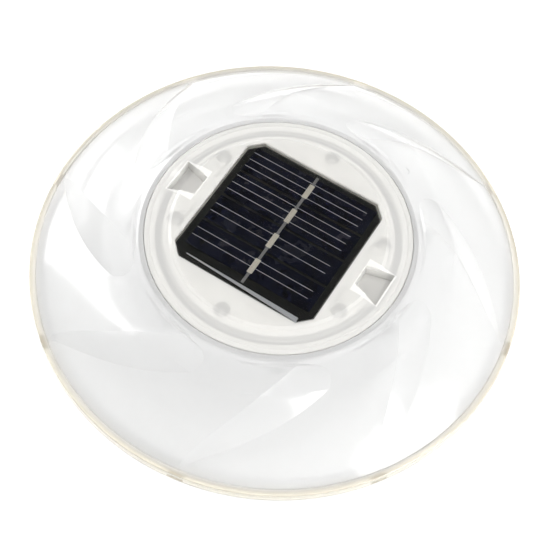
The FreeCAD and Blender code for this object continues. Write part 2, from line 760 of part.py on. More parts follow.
def make_hub_cover():
    """Clear stepped cover with finger notches, screw bosses and ribs round the panel."""
    under_slope = "crown_height + slope * (lip_radius - {0}) - cover_wall"
    cover = turned_body(
        "hub_cover",
        [
            ("0", "window_under"),
            ("window_radius - window_step", "window_under"),
            ("ring_inner", under_slope.format("ring_inner")),
            ("ring_inner", "ring_bottom"),
            ("ring_outer", "ring_bottom"),
            ("ring_outer", under_slope.format("ring_outer")),
            ("lip_inner", under_slope.format("lip_inner")),
            ("lip_inner", "lip_bottom"),
            ("lip_radius", "lip_bottom"),
            ("lip_radius", "crown_height"),
            ("slope_start", "slope_top"),
            ("window_radius", "window_height"),
            ("0", "window_height"),
        ],
    )
    bosses = circles("boss_radius", "boss_circle", BOSS_ANGLES)
    pad(cover, "bosses", "boss_bottom", "window_under - boss_bottom + root", bosses)
    for side, name in ((1, "right"), (-1, "left")):
        outer = fan(
            "notch_near - notch_wall",
            "notch_far + notch_wall",
            "notch_inner_width + 2 * notch_wall",
            "notch_outer_width + 2 * notch_wall",
            side,
        )
        pad(cover, f"notch_pocket_{name}", "ring_bottom", "slope_top - pocket_drop - ring_bottom", outer)

    def ribs(sketch):
        along, across = "rib_length / 2", "rib_width / 2"
        edge = "panel_side / 2 + rib_offset"
        for one in (1, -1):
            for other in (1, -1):
                x, y = f"{one} * ({edge})", f"{other} * rib_place"
                for swap in (False, True):
                    dx, dy = (across, along) if not swap else (along, across)
                    cx, cy = (x, y) if not swap else (y, x)
                    corners = [
                        (f"{cx} - {dx}", f"{cy} - {dy}"),
                        (f"{cx} + {dx}", f"{cy} - {dy}"),
                        (f"{cx} + {dx}", f"{cy} + {dy}"),
                        (f"{cx} - {dx}", f"{cy} + {dy}"),
                    ]
                    draw_outline(sketch, corners)

    pad(cover, "panel_ribs", "window_under - rib_depth", "rib_depth + root", ribs)
    for side, name in ((1, "right"), (-1, "left")):
        inner = fan("notch_near", "notch_far", "notch_inner_width", "notch_outer_width", side)
        pocket(cover, f"finger_notch_{name}", "notch_top", "window_height - notch_top + cut_room", inner)
    pilots = circles("cover_screw_radius", "boss_circle", BOSS_ANGLES)
    pocket(cover, "screw_pilots", "boss_bottom", "cover_screw_depth", pilots)
    return cover


def panel_outline(inset="0"):
    """A drawing of the panel's square with cut corners."""
    far = f"(panel_side / 2 - {inset})"
    near = f"(panel_side / 2 - panel_corner - {inset})"
    quarter = [(far, near), (near, far)]
    corners = []
    for x_side, y_side in ((1, 1), (-1, 1), (-1, -1), (1, -1)):
        pair = quarter if x_side * y_side > 0 else quarter[::-1]
        corners += [(f"{x_side} * {x}", f"{y_side} * {y}") for x, y in pair]
    return lambda sketch: draw_outline(sketch, corners)


def panel_slab(name, bottom, height, inset="0"):
    body = new_body(name)
    pad(body, name + "_slab", bottom, height, panel_outline(inset))
    return body


def make_solar_cells():
    cells = [
        block(
            f"solar_cell_{row}",
            "cell_length",
            "cell_width",
            "cell_wall",
            "0",
            f"cell_first - {row} * cell_pitch",
            "board_top",
        )
        for row in range(4)
    ]
    return group("solar_cells", *cells)


def make_bus_strip():
    """Tapered strip on the board beside the last cell."""
    body = new_body("bus_strip")
    edge = "(panel_side / 2 - bus_inset)"
    corners = [
        ("-bus_length / 2", f"-{edge} + bus_rise"),
        ("bus_length / 2", f"-{edge}"),
        ("bus_length / 2", f"-{edge} + bus_width"),
        ("-bus_length / 2", f"-{edge} + bus_rise + bus_tip"),
    ]
    pad(body, "bus_strip_slab", "board_top", "cell_wall", lambda sketch: draw_outline(sketch, corners))
    return body


def make_panel_pads():
    pads = [
        block(
            f"panel_pad_{x_side + 1}{y_side + 1}",
            "pad_side",
            "pad_side",
            "pad_wall",
            f"{x_side} * pad_place",
            f"{y_side} * pad_place",
            "reflector_top",
        )
        for x_side in (1, -1)
        for y_side in (1, -1)
    ]
    return group("panel_pads", *pads)


def make_reflector():
    """White plate behind the panel, open round the bosses, notches and leads."""
    body = new_body("reflector")
    pad(
        body,
        "reflector_plate",
        "roof_top",
        "reflector_wall",
        lambda sketch: draw_circle(sketch, "0", "0", "reflector_radius"),
    )
    bosses = circles("boss_radius + gap", "boss_circle", BOSS_ANGLES)
    pocket(body, "boss_holes", "roof_top - cut_room", "reflector_wall + 2 * cut_room", bosses)
    for side, name in ((1, "right"), (-1, "left")):
        room = fan(
            "notch_near - notch_wall - gap",
            "notch_far + 5 * cut_room",
            "notch_inner_width + 2 * notch_wall + 2 * gap",
            "notch_outer_width + 2 * notch_wall + 2 * cut_room",
            side,
        )
        pocket(body, f"notch_room_{name}", "roof_top - cut_room", "reflector_wall + 2 * cut_room", room)

    def lead_holes(sketch):
        for x, y in LEAD_PLACES.values():
            draw_circle(sketch, str(x), str(y), "lead_radius + gap")

    pocket(body, "lead_holes", "roof_top - cut_room", "reflector_wall + 2 * cut_room", lead_holes)
    return body


# ---------------------------------------------------------------- the lamp's base and works


def make_lamp_base():
    """Clear stepped cup with the battery tube, board posts, button guide and bayonet lugs."""
    cup = turned_body(
        "lamp_base_cup",
        [
            ("cap_bore", "base_height"),
            ("lower_drum", "base_height"),
            ("lower_drum", "shoulder_height"),
            ("upper_drum", "shoulder_height"),
            ("upper_drum", "lug_bottom"),
            ("lug_flange", "lug_bottom"),
            ("lug_flange", "lug_top"),
            ("drum_inner", "lug_top"),
            ("drum_inner", "shoulder_top"),
            ("lower_drum - drum_wall", "shoulder_top"),
            ("lower_drum - drum_wall", "floor_top"),
            ("cap_bore + tube_wall", "floor_top"),
            ("cap_bore + tube_wall", "bore_top + tube_wall"),
            ("tube_outer", "bore_top + tube_wall"),
            ("tube_outer", "tube_top"),
            ("cell_room", "tube_top"),
            ("cell_room", "bore_top"),
            ("cap_bore", "bore_top"),
        ],
    )
    posts = circles("post_radius", "post_circle", POST_ANGLES)
    pad(cup, "board_posts", "floor_top - post_root", "light_board_height - floor_top + post_root", posts)
    pad(
        cup,
        "button_guide",
        "floor_top - post_root",
        "guide_rise + post_root",
        lambda sketch: draw_circle(sketch, "button_place", "0", "guide_inner + guide_wall"),
    )
    pocket(
        cup,
        "guide_bore",
        "floor_top",
        "guide_rise + cut_room",
        lambda sketch: draw_circle(sketch, "button_place", "0", "guide_inner"),
    )
    pocket(
        cup,
        "button_hole",
        "base_height - cut_room",
        "floor_wall + 2 * cut_room",
        lambda sketch: draw_circle(sketch, "button_place", "0", "button_radius + gap + button_play"),
    )
    pilots = circles("board_screw_radius", "post_circle", POST_ANGLES)
    pocket(cup, "post_pilots", "board_face - board_screw_length", "board_screw_length", pilots)
    holes = circles("cover_screw_radius + gap", "boss_circle", BOSS_ANGLES)
    pocket(cup, "cover_screw_holes", "shoulder_height - cut_room", "drum_wall + 2 * cut_room", holes)
    lugs = [
        arc_block(
            f"bayonet_lug_{turn}",
            "upper_drum - drum_wall / 2",
            "lug_radius",
            "lug_bottom",
            "lug_wall",
            HOOK_START + 360 / HOOKS * turn,
            "lug_span",
        )
        for turn in range(HOOKS)
    ]
    return fuse("lamp_base", cup, *lugs)


def make_capsule_seal():
    return ring_body(
        "capsule_seal", "ring_inner + seal_play", "ring_outer - seal_play", "lug_top", "ring_bottom"
    )


def screw(name, x, y, head_bottom, head_top, head_radius, shank_radius, shank_length, down):
    """A pan-head screw with a cross recess. down is True where the point looks down."""
    head = cylinder(name + "_head", head_radius, head_bottom, f"({head_top}) - ({head_bottom})", x, y)
    shank_bottom = f"({head_bottom}) - ({shank_length})" if down else head_top
    shank = cylinder(name + "_shank", shank_radius, shank_bottom, shank_length, x, y)
    recess_bottom = f"({head_top}) - recess_depth" if down else f"({head_bottom}) - recess_room"
    sides = ("recess_length", "recess_width")
    arms = [
        block(f"{name}_arm_{index}", length, width, "recess_depth + recess_room", x, y, recess_bottom)
        for index, (length, width) in enumerate((sides, sides[::-1]))
    ]
    return cut(name, fuse(name + "_whole", head, shank), *arms)


def make_cover_screws():
    screws = [
        screw(
            f"cover_screw_{index}",
            *around("boss_circle", angle),
            "shoulder_height - cover_screw_rise",
            "shoulder_height",
            "cover_screw_head",
            "cover_screw_radius",
            "cover_screw_depth",
            down=False,
        )
        for index, angle in enumerate(BOSS_ANGLES)
    ]
    return group("cover_screws", *screws)


def make_board_screws():
    screws = [
        screw(
            f"board_screw_{index}",
            *around("post_circle", angle),
            "board_face",
            "board_face + board_screw_rise",
            "board_screw_head",
            "board_screw_radius",
            "board_screw_length",
            down=True,
        )
        for index, angle in enumerate(POST_ANGLES)
    ]
    return group("board_screws", *screws)


def make_light_board():
    """Ring-shaped board round the battery tube."""
    body = ring_body(
        "light_board", "light_board_hole", "light_board_radius", "light_board_height", "board_face"
    )
    holes = circles("board_screw_radius + board_hole_play", "post_circle", POST_ANGLES)
    pocket(body, "board_holes", "light_board_height - cut_room", "light_board_wall + 2 * cut_room", holes)
    return body


def make_leds():
    leds = []
    for index, angle in enumerate(LED_ANGLES):
        x, y = around("led_circle", angle)
        bottom = "light_board_height - led_length"
        stem = cylinder(f"led_stem_{index}", "led_radius", bottom, "led_length", x, y)
        rim_bottom = "light_board_height - led_rim_wall"
        rim = cylinder(f"led_rim_{index}", "led_radius + led_rim", rim_bottom, "led_rim_wall", x, y)
        dome = doc.addObject("Part::Sphere", f"led_dome_{index}")
        bind(dome, Radius="led_radius", Placement__Base__x=x, Placement__Base__y=y)
        bind(dome, Placement__Base__z=bottom)
        leds.append(fuse(f"led_{index}", stem, rim, dome))
    return group("leds", *leds)


def make_control_chip():
    """Chip with four legs on each long side."""
    x, y = CHIP_PLACE
    bottom = "board_face + chip_lift"
    case = block("chip_case", "chip_length", "chip_width", "chip_rise", str(x), str(y), bottom)
    leg_length = "chip_width + 2 * leg_reach"
    legs = []
    for index in range(4):
        place = f"{x} + ({index} - 1.5) * leg_pitch"
        leg = block(f"chip_leg_{index}", "leg_width", leg_length, "leg_wall", place, str(y), "board_face")
        legs.append(leg)
    return fuse("control_chip", case, *legs)


def make_drive_inductor():
    """Barrel coil that lies on the board, thicker at both ends."""
    x, y = COIL_PLACE
    pieces = []
    for name, radius, start, length in (
        ("barrel", "coil_waist", "0", "coil_length"),
        ("end_near", "coil_radius", "0", "coil_end"),
        ("end_far", "coil_radius", "coil_far", "coil_end"),
    ):
        made = doc.addObject("Part::Cylinder", "inductor_" + name)
        bind(made, Radius=radius, Height=length)
        made.Placement = FreeCAD.Placement(Vector(), FreeCAD.Rotation(Vector(0, 1, 0), 90))
        bind(
            made,
            Placement__Base__x=f"{x} - coil_length / 2 + ({start})",
            Placement__Base__y=str(y),
            Placement__Base__z="board_face + coil_radius",
        )
        pieces.append(made)
    return fuse("drive_inductor", *pieces)


def make_leads():
    leads = [
        cylinder(name, "lead_radius", "board_face", "board_bottom - board_face", str(x), str(y))
        for name, (x, y) in LEAD_PLACES.items()
    ]
    return leads


def make_battery_lead():
    """Lead from the contact cap's side, out and down to the light board."""
    radius = size("lead_radius")
    bend = size("lead_bend")
    start = size("cap_shell_outer")
    height = size("roof_bottom - top_cap_skirt / 2")
    reach = start + size("lead_reach")
    corner = Vector(reach, 0, height)
    before, after = corner - Vector(bend, 0, 0), corner - Vector(0, 0, bend)
    middle = after - Vector(bend, 0, 0) + Vector(bend, 0, bend) * math.sqrt(0.5)
    first = Vector(start, 0, height)
    last = Vector(reach, 0, size("board_face"))
    path = Part.Wire(
        [
            Part.LineSegment(first, before).toShape(),
            Part.Arc(before, middle, after).toShape(),
            Part.LineSegment(after, last).toShape(),
        ]
    )
    section = Part.Wire([Part.makeCircle(radius, first, Vector(1, 0, 0))])
    tube = path.makePipeShell([section], True, False)
    return feature("battery_lead", tube, turn=BATTERY_LEAD_ANGLE)


def make_contact_strip():
    """Flat strip up the battery tube's side, from the cap's contact to the light board."""
    body = new_body("contact_strip")
    near = "-(tube_outer + strip_gap)"
    corners = [
        (f"{near} - strip_wall", "-strip_width / 2"),
        (near, "-strip_width / 2"),
        (near, "strip_width / 2"),
        (f"{near} - strip_wall", "strip_width / 2"),
    ]
    pad(
        body,
        "contact_strip_blade",
        "bore_top + tube_wall",
        "board_face + strip_rise - bore_top - tube_wall",
        lambda sketch: draw_outline(sketch, corners),
    )
    return body


def make_battery():
    return turned_body(
        "battery",
        [
            ("0", "battery_bottom"),
            ("battery_button_radius", "battery_bottom"),
            ("battery_button_radius", "battery_bottom + battery_button"),
            ("battery_radius - battery_shoulder", "battery_bottom + battery_button"),
            ("battery_radius", "battery_bottom + battery_button + battery_shoulder"),
            ("battery_radius", "battery_top - edge_break"),
            ("battery_radius - edge_break", "battery_top"),
            ("0", "battery_top"),
        ],
    )


def make_battery_spring():
    """Coil spring between the battery and the upper contact."""
    wire = size("spring_wire")
    rise = size("spring_rise") - 2 * wire
    helix = Part.makeHelix(rise / size("spring_turns"), rise, size("spring_radius"))
    start = Vector(size("spring_radius"), 0, 0)
    section = Part.Wire([Part.makeCircle(wire, start, Vector(0, 1, 0))])
    coil = Part.Wire(helix.Edges).makePipeShell([section], True, True)
    return feature("battery_spring", coil, height=size("battery_top") + wire)


def make_contact_cap():
    """Plastic cap over the battery tube."""
    return turned_body(
        "contact_cap",
        [
            ("0", "roof_bottom"),
            ("cap_shell", "roof_bottom"),
            ("cap_shell", "roof_bottom - top_cap_skirt"),
            ("cap_shell_outer", "roof_bottom - top_cap_skirt"),
            ("cap_shell_outer", "roof_top - edge_break"),
            ("cap_shell_outer - edge_break", "roof_top"),
            ("0", "roof_top"),
        ],
    )


def make_disc(name, radius, bottom, top):
    return turned_body(name, [("0", bottom), (radius, bottom), (radius, top), ("0", top)])


# ---------------------------------------------------------------- battery cap and push button


def make_battery_cap():
    """Cap with a coin slot, grip scallops and a groove for its seal."""
    cap = turned_body(
        "battery_cap",
        [
            ("0", "cap_top - cap_wall"),
            ("cap_radius - edge_break", "cap_top - cap_wall"),
            ("cap_radius", "cap_top - cap_wall + edge_break"),
            ("cap_radius", "cap_top"),
            ("cap_plug", "cap_top"),
            ("cap_plug", "groove_bottom"),
            ("groove_inner", "groove_bottom"),
            ("groove_inner", "groove_top"),
            ("cap_plug", "groove_top"),
            ("cap_plug", "plug_top"),
            ("0", "plug_top"),
        ],
    )
    slot = [
        (f"{x} * coin_length / 2", f"{y} * coin_width / 2") for x, y in ((-1, -1), (1, -1), (1, 1), (-1, 1))
    ]
    bottom = "cap_top - cap_wall - cut_room"
    pocket(cap, "coin_slot", bottom, "coin_depth + cut_room", lambda sketch: draw_outline(sketch, slot))
    grips = circles("grip_radius", "cap_radius + grip_place", [360 / GRIPS * k for k in range(GRIPS)])
    pocket(cap, "grip_scallops", bottom, "cap_wall + cut_room + grip_room", grips)
    return cap


def make_cap_seal():
    return ring_body(
        "cap_seal",
        "groove_inner",
        "cap_plug + seal_stand",
        "groove_bottom + groove_play",
        "groove_top - groove_play",
    )


def make_power_button():
    """Push button with a retaining flange and a stem up to the switch."""
    button = turned_body(
        "power_button",
        [
            ("0", "base_height - button_drop"),
            ("button_radius - button_chamfer", "base_height - button_drop"),
            ("button_radius", "base_height - button_drop + button_chamfer"),
            ("button_radius", "flange_rest"),
            ("button_flange", "flange_rest"),
            ("button_flange", "flange_rest + button_flange_wall"),
            ("button_stem", "flange_rest + button_flange_wall"),
            ("button_stem", "button_top"),
            ("0", "button_top"),
        ],
    )
    bind(button, Placement__Base__x="button_place")
    return button


def make_switch_body():
    case = block(
        "switch_case", "switch_side", "switch_side", "switch_rise", "button_place", "0", "switch_foot"
    )
    height = "switch_rise - switch_roof + cut_room"
    room = cylinder("plunger_room", "plunger_radius + gap", "switch_foot - cut_room", height, "button_place")
    return cut("switch_body", case, room)


def make_switch_plunger():
    return cylinder("switch_plunger", "plunger_radius", "button_top", "plunger_length", "button_place")


def make_all():
    """Every sub-part, each named for its node."""
    return [
        make_upper_shell(),
        make_lower_shell(),
        make_rim_seal(),
        make_collar_seal(),
        make_hub_cover(),
        panel_slab("panel_board", "board_bottom", "board_wall"),
        make_solar_cells(),
        block("panel_ribbon", "ribbon_width", "ribbon_length", "ribbon_wall", "0", "ribbon_shift", "cell_top"),
        make_bus_strip(),
        panel_slab("panel_resin", "ribbon_top", "resin_wall", "resin_inset"),
        make_panel_pads(),
        make_reflector(),
        make_capsule_seal(),
        make_lamp_base(),
        make_cover_screws(),
        make_light_board(),
        make_leds(),
        make_control_chip(),
        make_drive_inductor(),
        make_board_screws(),
        *make_leads(),
        make_battery_lead(),
        make_contact_strip(),
        make_battery(),
        make_battery_spring(),
        make_disc("spring_contact", "contact_radius", "spring_top", "roof_bottom"),
        make_contact_cap(),
        make_switch_body(),
        make_battery_cap(),
        make_cap_seal(),
        make_disc("cap_contact", "contact_radius", "plug_top", "plug_top + contact_wall"),
        make_power_button(),
        make_switch_plunger(),
    ]


def check(parts):
    """Stop if any feature failed or any sub-part's shape is missing or invalid."""
    for item in doc.Objects:
        if {"Invalid", "Error"} & set(item.State):
            raise ValueError(f"{item.Name} failed: {item.State}")
    for part in parts:
        if part.Shape.isNull() or not part.Shape.isValid() or not part.Shape.Solids:
            raise ValueError(f"{part.Name} has no valid solid")


def main():
    parts = make_all()
    for part in parts:
        part.Label = part.Name
    doc.recompute()
    check(parts)
    os.makedirs("parts", exist_ok=True)
    for part in parts:
        part.Shape.exportStep(os.path.join("parts", part.Label + ".step"))
        box = part.Shape.BoundBox
        print(
            f"{part.Label:18s} solids {len(part.Shape.Solids):2d}  volume {part.Shape.Volume:9.1f}"
            f"  z {box.ZMin:6.2f} {box.ZMax:6.2f}"
        )


main()
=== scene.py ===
import logging
import math
from collections.abc import Iterable, Iterator
from contextlib import contextmanager
from dataclasses import dataclass
from enum import Enum

import bpy
import numpy as np
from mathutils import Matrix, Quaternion, Vector


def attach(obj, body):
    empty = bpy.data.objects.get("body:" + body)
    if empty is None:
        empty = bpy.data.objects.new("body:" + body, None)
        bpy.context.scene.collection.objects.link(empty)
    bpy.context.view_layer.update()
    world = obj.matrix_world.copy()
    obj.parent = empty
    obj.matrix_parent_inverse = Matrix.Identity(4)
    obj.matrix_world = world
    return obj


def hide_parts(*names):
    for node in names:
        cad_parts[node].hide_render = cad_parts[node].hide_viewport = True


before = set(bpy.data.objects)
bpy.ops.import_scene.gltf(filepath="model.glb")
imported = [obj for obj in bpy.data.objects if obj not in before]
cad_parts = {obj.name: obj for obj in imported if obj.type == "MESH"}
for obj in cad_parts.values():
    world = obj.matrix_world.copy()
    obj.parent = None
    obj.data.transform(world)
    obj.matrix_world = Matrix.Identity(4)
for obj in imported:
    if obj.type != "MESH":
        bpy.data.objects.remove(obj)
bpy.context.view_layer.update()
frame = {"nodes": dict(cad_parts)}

MM = 0.001
FULL_TURN = 2 * math.pi
MERGE_MM = 0.002  # points of a turned piece closer than this are one
LONGEST_ROUNDING = 0.45  # a rounding's reach along an edge, as a share
NOISE_MIDDLE = (0.3, 0.7)  # the range that most of a noise falls in
log = logging.getLogger("pool_light")

Point = tuple[float, float]
Corner = tuple[float, float, float]
Piece = bpy.types.Object
Tree = bpy.types.NodeTree
Node = bpy.types.Node
Socket = bpy.types.NodeSocket
Material = bpy.types.Material


# ---------------------------------------------------------------- modelling by hand


def deselect_all() -> None:
    """Leave nothing selected."""
    bpy.ops.object.select_all(action="DESELECT")


def activate(piece: Piece) -> None:
    """Select one piece alone and make it active."""
    deselect_all()
    piece.select_set(True)
    bpy.context.view_layer.objects.active = piece


@contextmanager
def editing(piece: Piece) -> Iterator[None]:
    """Work on a piece in edit mode with all of it selected."""
    activate(piece)
    bpy.ops.object.mode_set(mode="EDIT")
    bpy.ops.mesh.select_all(action="SELECT")
    yield
    bpy.ops.object.mode_set(mode="OBJECT")


def rounded(corners: Iterable[Corner], steps: int = 3) -> list[Point]:
    """Round the corners of a closed outline.

    Args:
        corners: radius, height and rounding of each corner, in millimetres.
        steps: how many stretches each rounding has.

    Returns:
        The outline's points.
    """
    corners = list(corners)
    points: list[Point] = []
    for index, (radius, height, rounding) in enumerate(corners):
        here = Vector((radius, height))
        if rounding <= 0:
            points.append((radius, height))
            continue
        before = Vector(corners[index - 1][:2]) - here
        after = Vector(corners[(index + 1) % len(corners)][:2]) - here
        reach = rounding / math.tan(before.angle(after) / 2)
        first = here + before.normalized() * min(reach, before.length * LONGEST_ROUNDING)
        last = here + after.normalized() * min(reach, after.length * LONGEST_ROUNDING)
        for step in range(steps + 1):
            share = step / steps
            spot = first * (1 - share) ** 2 + here * 2 * share * (1 - share) + last * share**2
            points.append((spot.x, spot.y))
    return points


def arc_between(start: Point, end: Point, radius: float, steps: int, side: int = 1) -> list[Corner]:
    """Corners along an arc that bulges to the right of the way from start to end.

    Args:
        start: first point, in millimetres.
        end: last point, in millimetres.
        radius: the arc's radius.
        steps: how many stretches the arc has.
        side: -1 where the arc bulges to the left.

    Returns:
        Corners with no rounding, both ends among them.
    """
    first, last = Vector(start), Vector(end)
    way = last - first
    across = Vector((way.y, -way.x)).normalized() * side
    centre = (first + last) / 2 - across * math.sqrt(radius**2 - way.length_squared / 4)
    begin = math.atan2(first.y - centre.y, first.x - centre.x)
    sweep = math.atan2(last.y - centre.y, last.x - centre.x) - begin
    sweep = (sweep + math.pi) % FULL_TURN - math.pi
    spots = [begin + sweep * step / steps for step in range(steps + 1)]
    return [(centre.x + radius * math.cos(a), centre.y + radius * math.sin(a), 0.0) for a in spots]


def spun(name: str, outline: list[Point], steps: int) -> Piece:
    """Turn a closed outline round the vertical axis.

    Args:
        name: the piece's name.
        outline: radius and height of each point, in millimetres.
        steps: how many columns the turned piece has.

    Returns:
        The turned piece.
    """
    deselect_all()
    bpy.ops.mesh.primitive_circle_add(vertices=len(outline), radius=MM)
    piece = bpy.context.object
    piece.name = name
    for vertex, (radius, height) in zip(piece.data.vertices, outline):
        vertex.co = (radius * MM, 0.0, height * MM)
    with editing(piece):
        bpy.ops.mesh.spin(steps=steps, angle=FULL_TURN, center=(0, 0, 0), axis=(0, 0, 1))
        bpy.ops.mesh.select_all(action="SELECT")
        bpy.ops.mesh.remove_doubles(threshold=MERGE_MM * MM)
        bpy.ops.mesh.normals_make_consistent(inside=False)
    return piece


def smooth(piece: Piece, angle: float = 28.0) -> None:
    """Shade a piece smooth up to an angle between faces, in degrees."""
    activate(piece)
    bpy.ops.object.shade_smooth_by_angle(angle=math.radians(angle))


def modify(piece: Piece, kind: str, **settings: object) -> None:
    """Add a modifier with its settings and apply it."""
    activate(piece)
    modifier = piece.modifiers.new(kind.title(), kind)
    for key, value in settings.items():
        setattr(modifier, key, value)
    bpy.ops.object.modifier_apply(modifier=modifier.name)


def joined(name: str, pieces: list[Piece]) -> Piece:
    """Join pieces into one."""
    deselect_all()
    for piece in pieces:
        piece.select_set(True)
    bpy.context.view_layer.objects.active = pieces[0]
    if len(pieces) > 1:
        bpy.ops.object.join()
    whole = bpy.context.object
    whole.name = name
    return whole


def polar(radius: float, angle: float) -> Point:
    """The place at a radius and an angle in degrees."""
    return radius * math.cos(math.radians(angle)), radius * math.sin(math.radians(angle))


def settled(piece: Piece) -> Piece:
    """Put a piece's place into its mesh, so that its object sits at the origin."""
    activate(piece)
    bpy.ops.object.transform_apply(location=True, rotation=True, scale=True)
    return piece


def combine(piece: Piece, tool: Piece, operation: str) -> None:
    """Fuse a tool with a piece, or cut it out, and drop the tool."""
    modify(piece, "BOOLEAN", object=tool, operation=operation, solver="EXACT")
    bpy.data.objects.remove(tool)


def rod(name: str, radius: float, bottom: float, top: float, spot: Point, sides: int = 32) -> Piece:
    """An upright rod, in millimetres, as a tool or the start of a piece.

    Args:
        name: the piece's name.
        radius: its radius.
        bottom: height of its lower end.
        top: height of its upper end.
        spot: where its middle stands.
        sides: how many sides stand for the round.

    Returns:
        The rod.
    """
    deselect_all()
    bpy.ops.mesh.primitive_cylinder_add(
        vertices=sides,
        radius=radius * MM,
        depth=(top - bottom) * MM,
        location=(spot[0] * MM, spot[1] * MM, (top + bottom) / 2 * MM),
    )
    piece = bpy.context.object
    piece.name = name
    return settled(piece)


def bar(name: str, low: Corner, high: Corner) -> Piece:
    """A box between two corners, in millimetres, as a tool or the start of a piece."""
    deselect_all()
    middle = [(a + b) / 2 * MM for a, b in zip(low, high)]
    bpy.ops.mesh.primitive_cube_add(size=1, location=middle)
    piece = bpy.context.object
    piece.name = name
    piece.scale = [(b - a) * MM for a, b in zip(low, high)]
    return settled(piece)


def prism(name: str, outline: list[Point], bottom: float, top: float) -> Piece:
    """An upright prism on a flat outline, in millimetres."""
    deselect_all()
    bpy.ops.mesh.primitive_circle_add(vertices=len(outline), radius=MM, fill_type="NGON")
    piece = bpy.context.object
    piece.name = name
    for vertex, (x, y) in zip(piece.data.vertices, outline):
        vertex.co = (x * MM, y * MM, bottom * MM)
    with editing(piece):
        lift = {"value": (0, 0, (top - bottom) * MM)}
        bpy.ops.mesh.extrude_region_move(TRANSFORM_OT_translate=lift)
        bpy.ops.mesh.select_all(action="SELECT")
        bpy.ops.mesh.normals_make_consistent(inside=False)
    return piece


def sector(name: str, radii: Point, heights: Point, middle: float, span: float) -> Piece:
    """An upright block between two radii, as a tool.

    Args:
        name: the piece's name.
        radii: inner and outer radius, in millimetres.
        heights: bottom and top, in millimetres.
        middle: angle of its middle, in degrees.
        span: angle that it covers, in degrees.

    Returns:
        The block.
    """
    steps = max(2, round(span / 2))
    angles = [math.radians(middle + span * (step / steps - 0.5)) for step in range(steps + 1)]
    near = [(radii[0] * math.cos(a), radii[0] * math.sin(a)) for a in reversed(angles)]
    far = [(radii[1] * math.cos(a), radii[1] * math.sin(a)) for a in angles]
    return prism(name, far + near, *heights)


# ---------------------------------------------------------------- finishes


def srgb(code: str) -> tuple[float, float, float, float]:
    """A linear colour from an sRGB hex code such as "#e8ecef"."""
    parts = [int(code[place : place + 2], 16) / 255 for place in (1, 3, 5)]
    linear = [c / 12.92 if c <= 0.04045 else ((c + 0.055) / 1.055) ** 2.4 for c in parts]
    return (*linear, 1.0)


def add_node(
    tree: Tree, kind: str, links: dict[str | int, Socket] | None = None, **settings: object
) -> Node:
    """Add a node with its settings and links.

    Args:
        tree: the node tree.
        kind: the node's type.
        links: an output socket for each input to be linked.
        **settings: properties of the node, or values of its inputs, with spaces as underscores.

    Returns:
        The node.
    """
    node = tree.nodes.new(kind)
    for key, value in settings.items():
        if hasattr(node, key):
            setattr(node, key, value)
    for key, value in settings.items():
        if not hasattr(node, key):
            node.inputs[key.replace("_", " ")].default_value = value
    for key, socket in (links or {}).items():
        tree.links.new(socket, node.inputs[key])
    return node


def new_material(name: str) -> tuple[Material, Tree, Node, Socket]:
    """A material with a Principled shader and its own Object coordinates.

    Returns:
        The material, its node tree, the shader and the coordinates.
    """
    material = bpy.data.materials.new(name)
    material.use_nodes = True
    tree = material.node_tree
    shader = tree.nodes["Principled BSDF"]
    place = add_node(tree, "ShaderNodeTexCoord").outputs["Object"]
    return material, tree, shader, place


def grain(tree: Tree, place: Socket, size_mm: float, detail: float = 3.0) -> Socket:
    """Noise whose grains are about a size in millimetres."""
    noise = add_node(tree, "ShaderNodeTexNoise", {"Vector": place}, Scale=1 / (size_mm * MM), Detail=detail)
    return noise.outputs["Fac"]


def remapped(tree: Tree, value: Socket, start: Point, end: Point, **settings: object) -> Socket:
    """A value taken from one range to another, held at the ends."""
    ends = {"From_Min": start[0], "From_Max": start[1], "To_Min": end[0], "To_Max": end[1]}
    ramp = add_node(tree, "ShaderNodeMapRange", {"Value": value}, **ends, **settings)
    return ramp.outputs["Result"]


def spread(tree: Tree, value: Socket, low: float, high: float) -> Socket:
    """Spread the middle of a noise over a range."""
    return remapped(tree, value, NOISE_MIDDLE, (low, high))


def calculate(tree: Tree, operation: str, *values: Socket | float) -> Socket:
    """One arithmetic step between sockets or numbers."""
    node = add_node(tree, "ShaderNodeMath", operation=operation)
    for place, value in enumerate(values):
        if isinstance(value, float):
            node.inputs[place].default_value = value
        else:
            tree.links.new(value, node.inputs[place])
    return node.outputs["Value"]


def emboss(
    tree: Tree, shader: Node, value: Socket, depth_mm: float, strength: float = 1.0
) -> None:
    """Give a shader a bump of a real depth."""
    bump = add_node(tree, "ShaderNodeBump", {"Height": value}, Strength=strength, Distance=depth_mm * MM)
    tree.links.new(bump.outputs["Normal"], shader.inputs["Normal"])


def tinted(tree: Tree, value: Socket, dark: str, light: str) -> Socket:
    """A colour that runs between two sRGB hex codes with a value."""
    mix = add_node(tree, "ShaderNodeMix", {"Factor": value}, data_type="RGBA")
    mix.inputs[6].default_value = srgb(dark)
    mix.inputs[7].default_value = srgb(light)
    return mix.outputs[2]


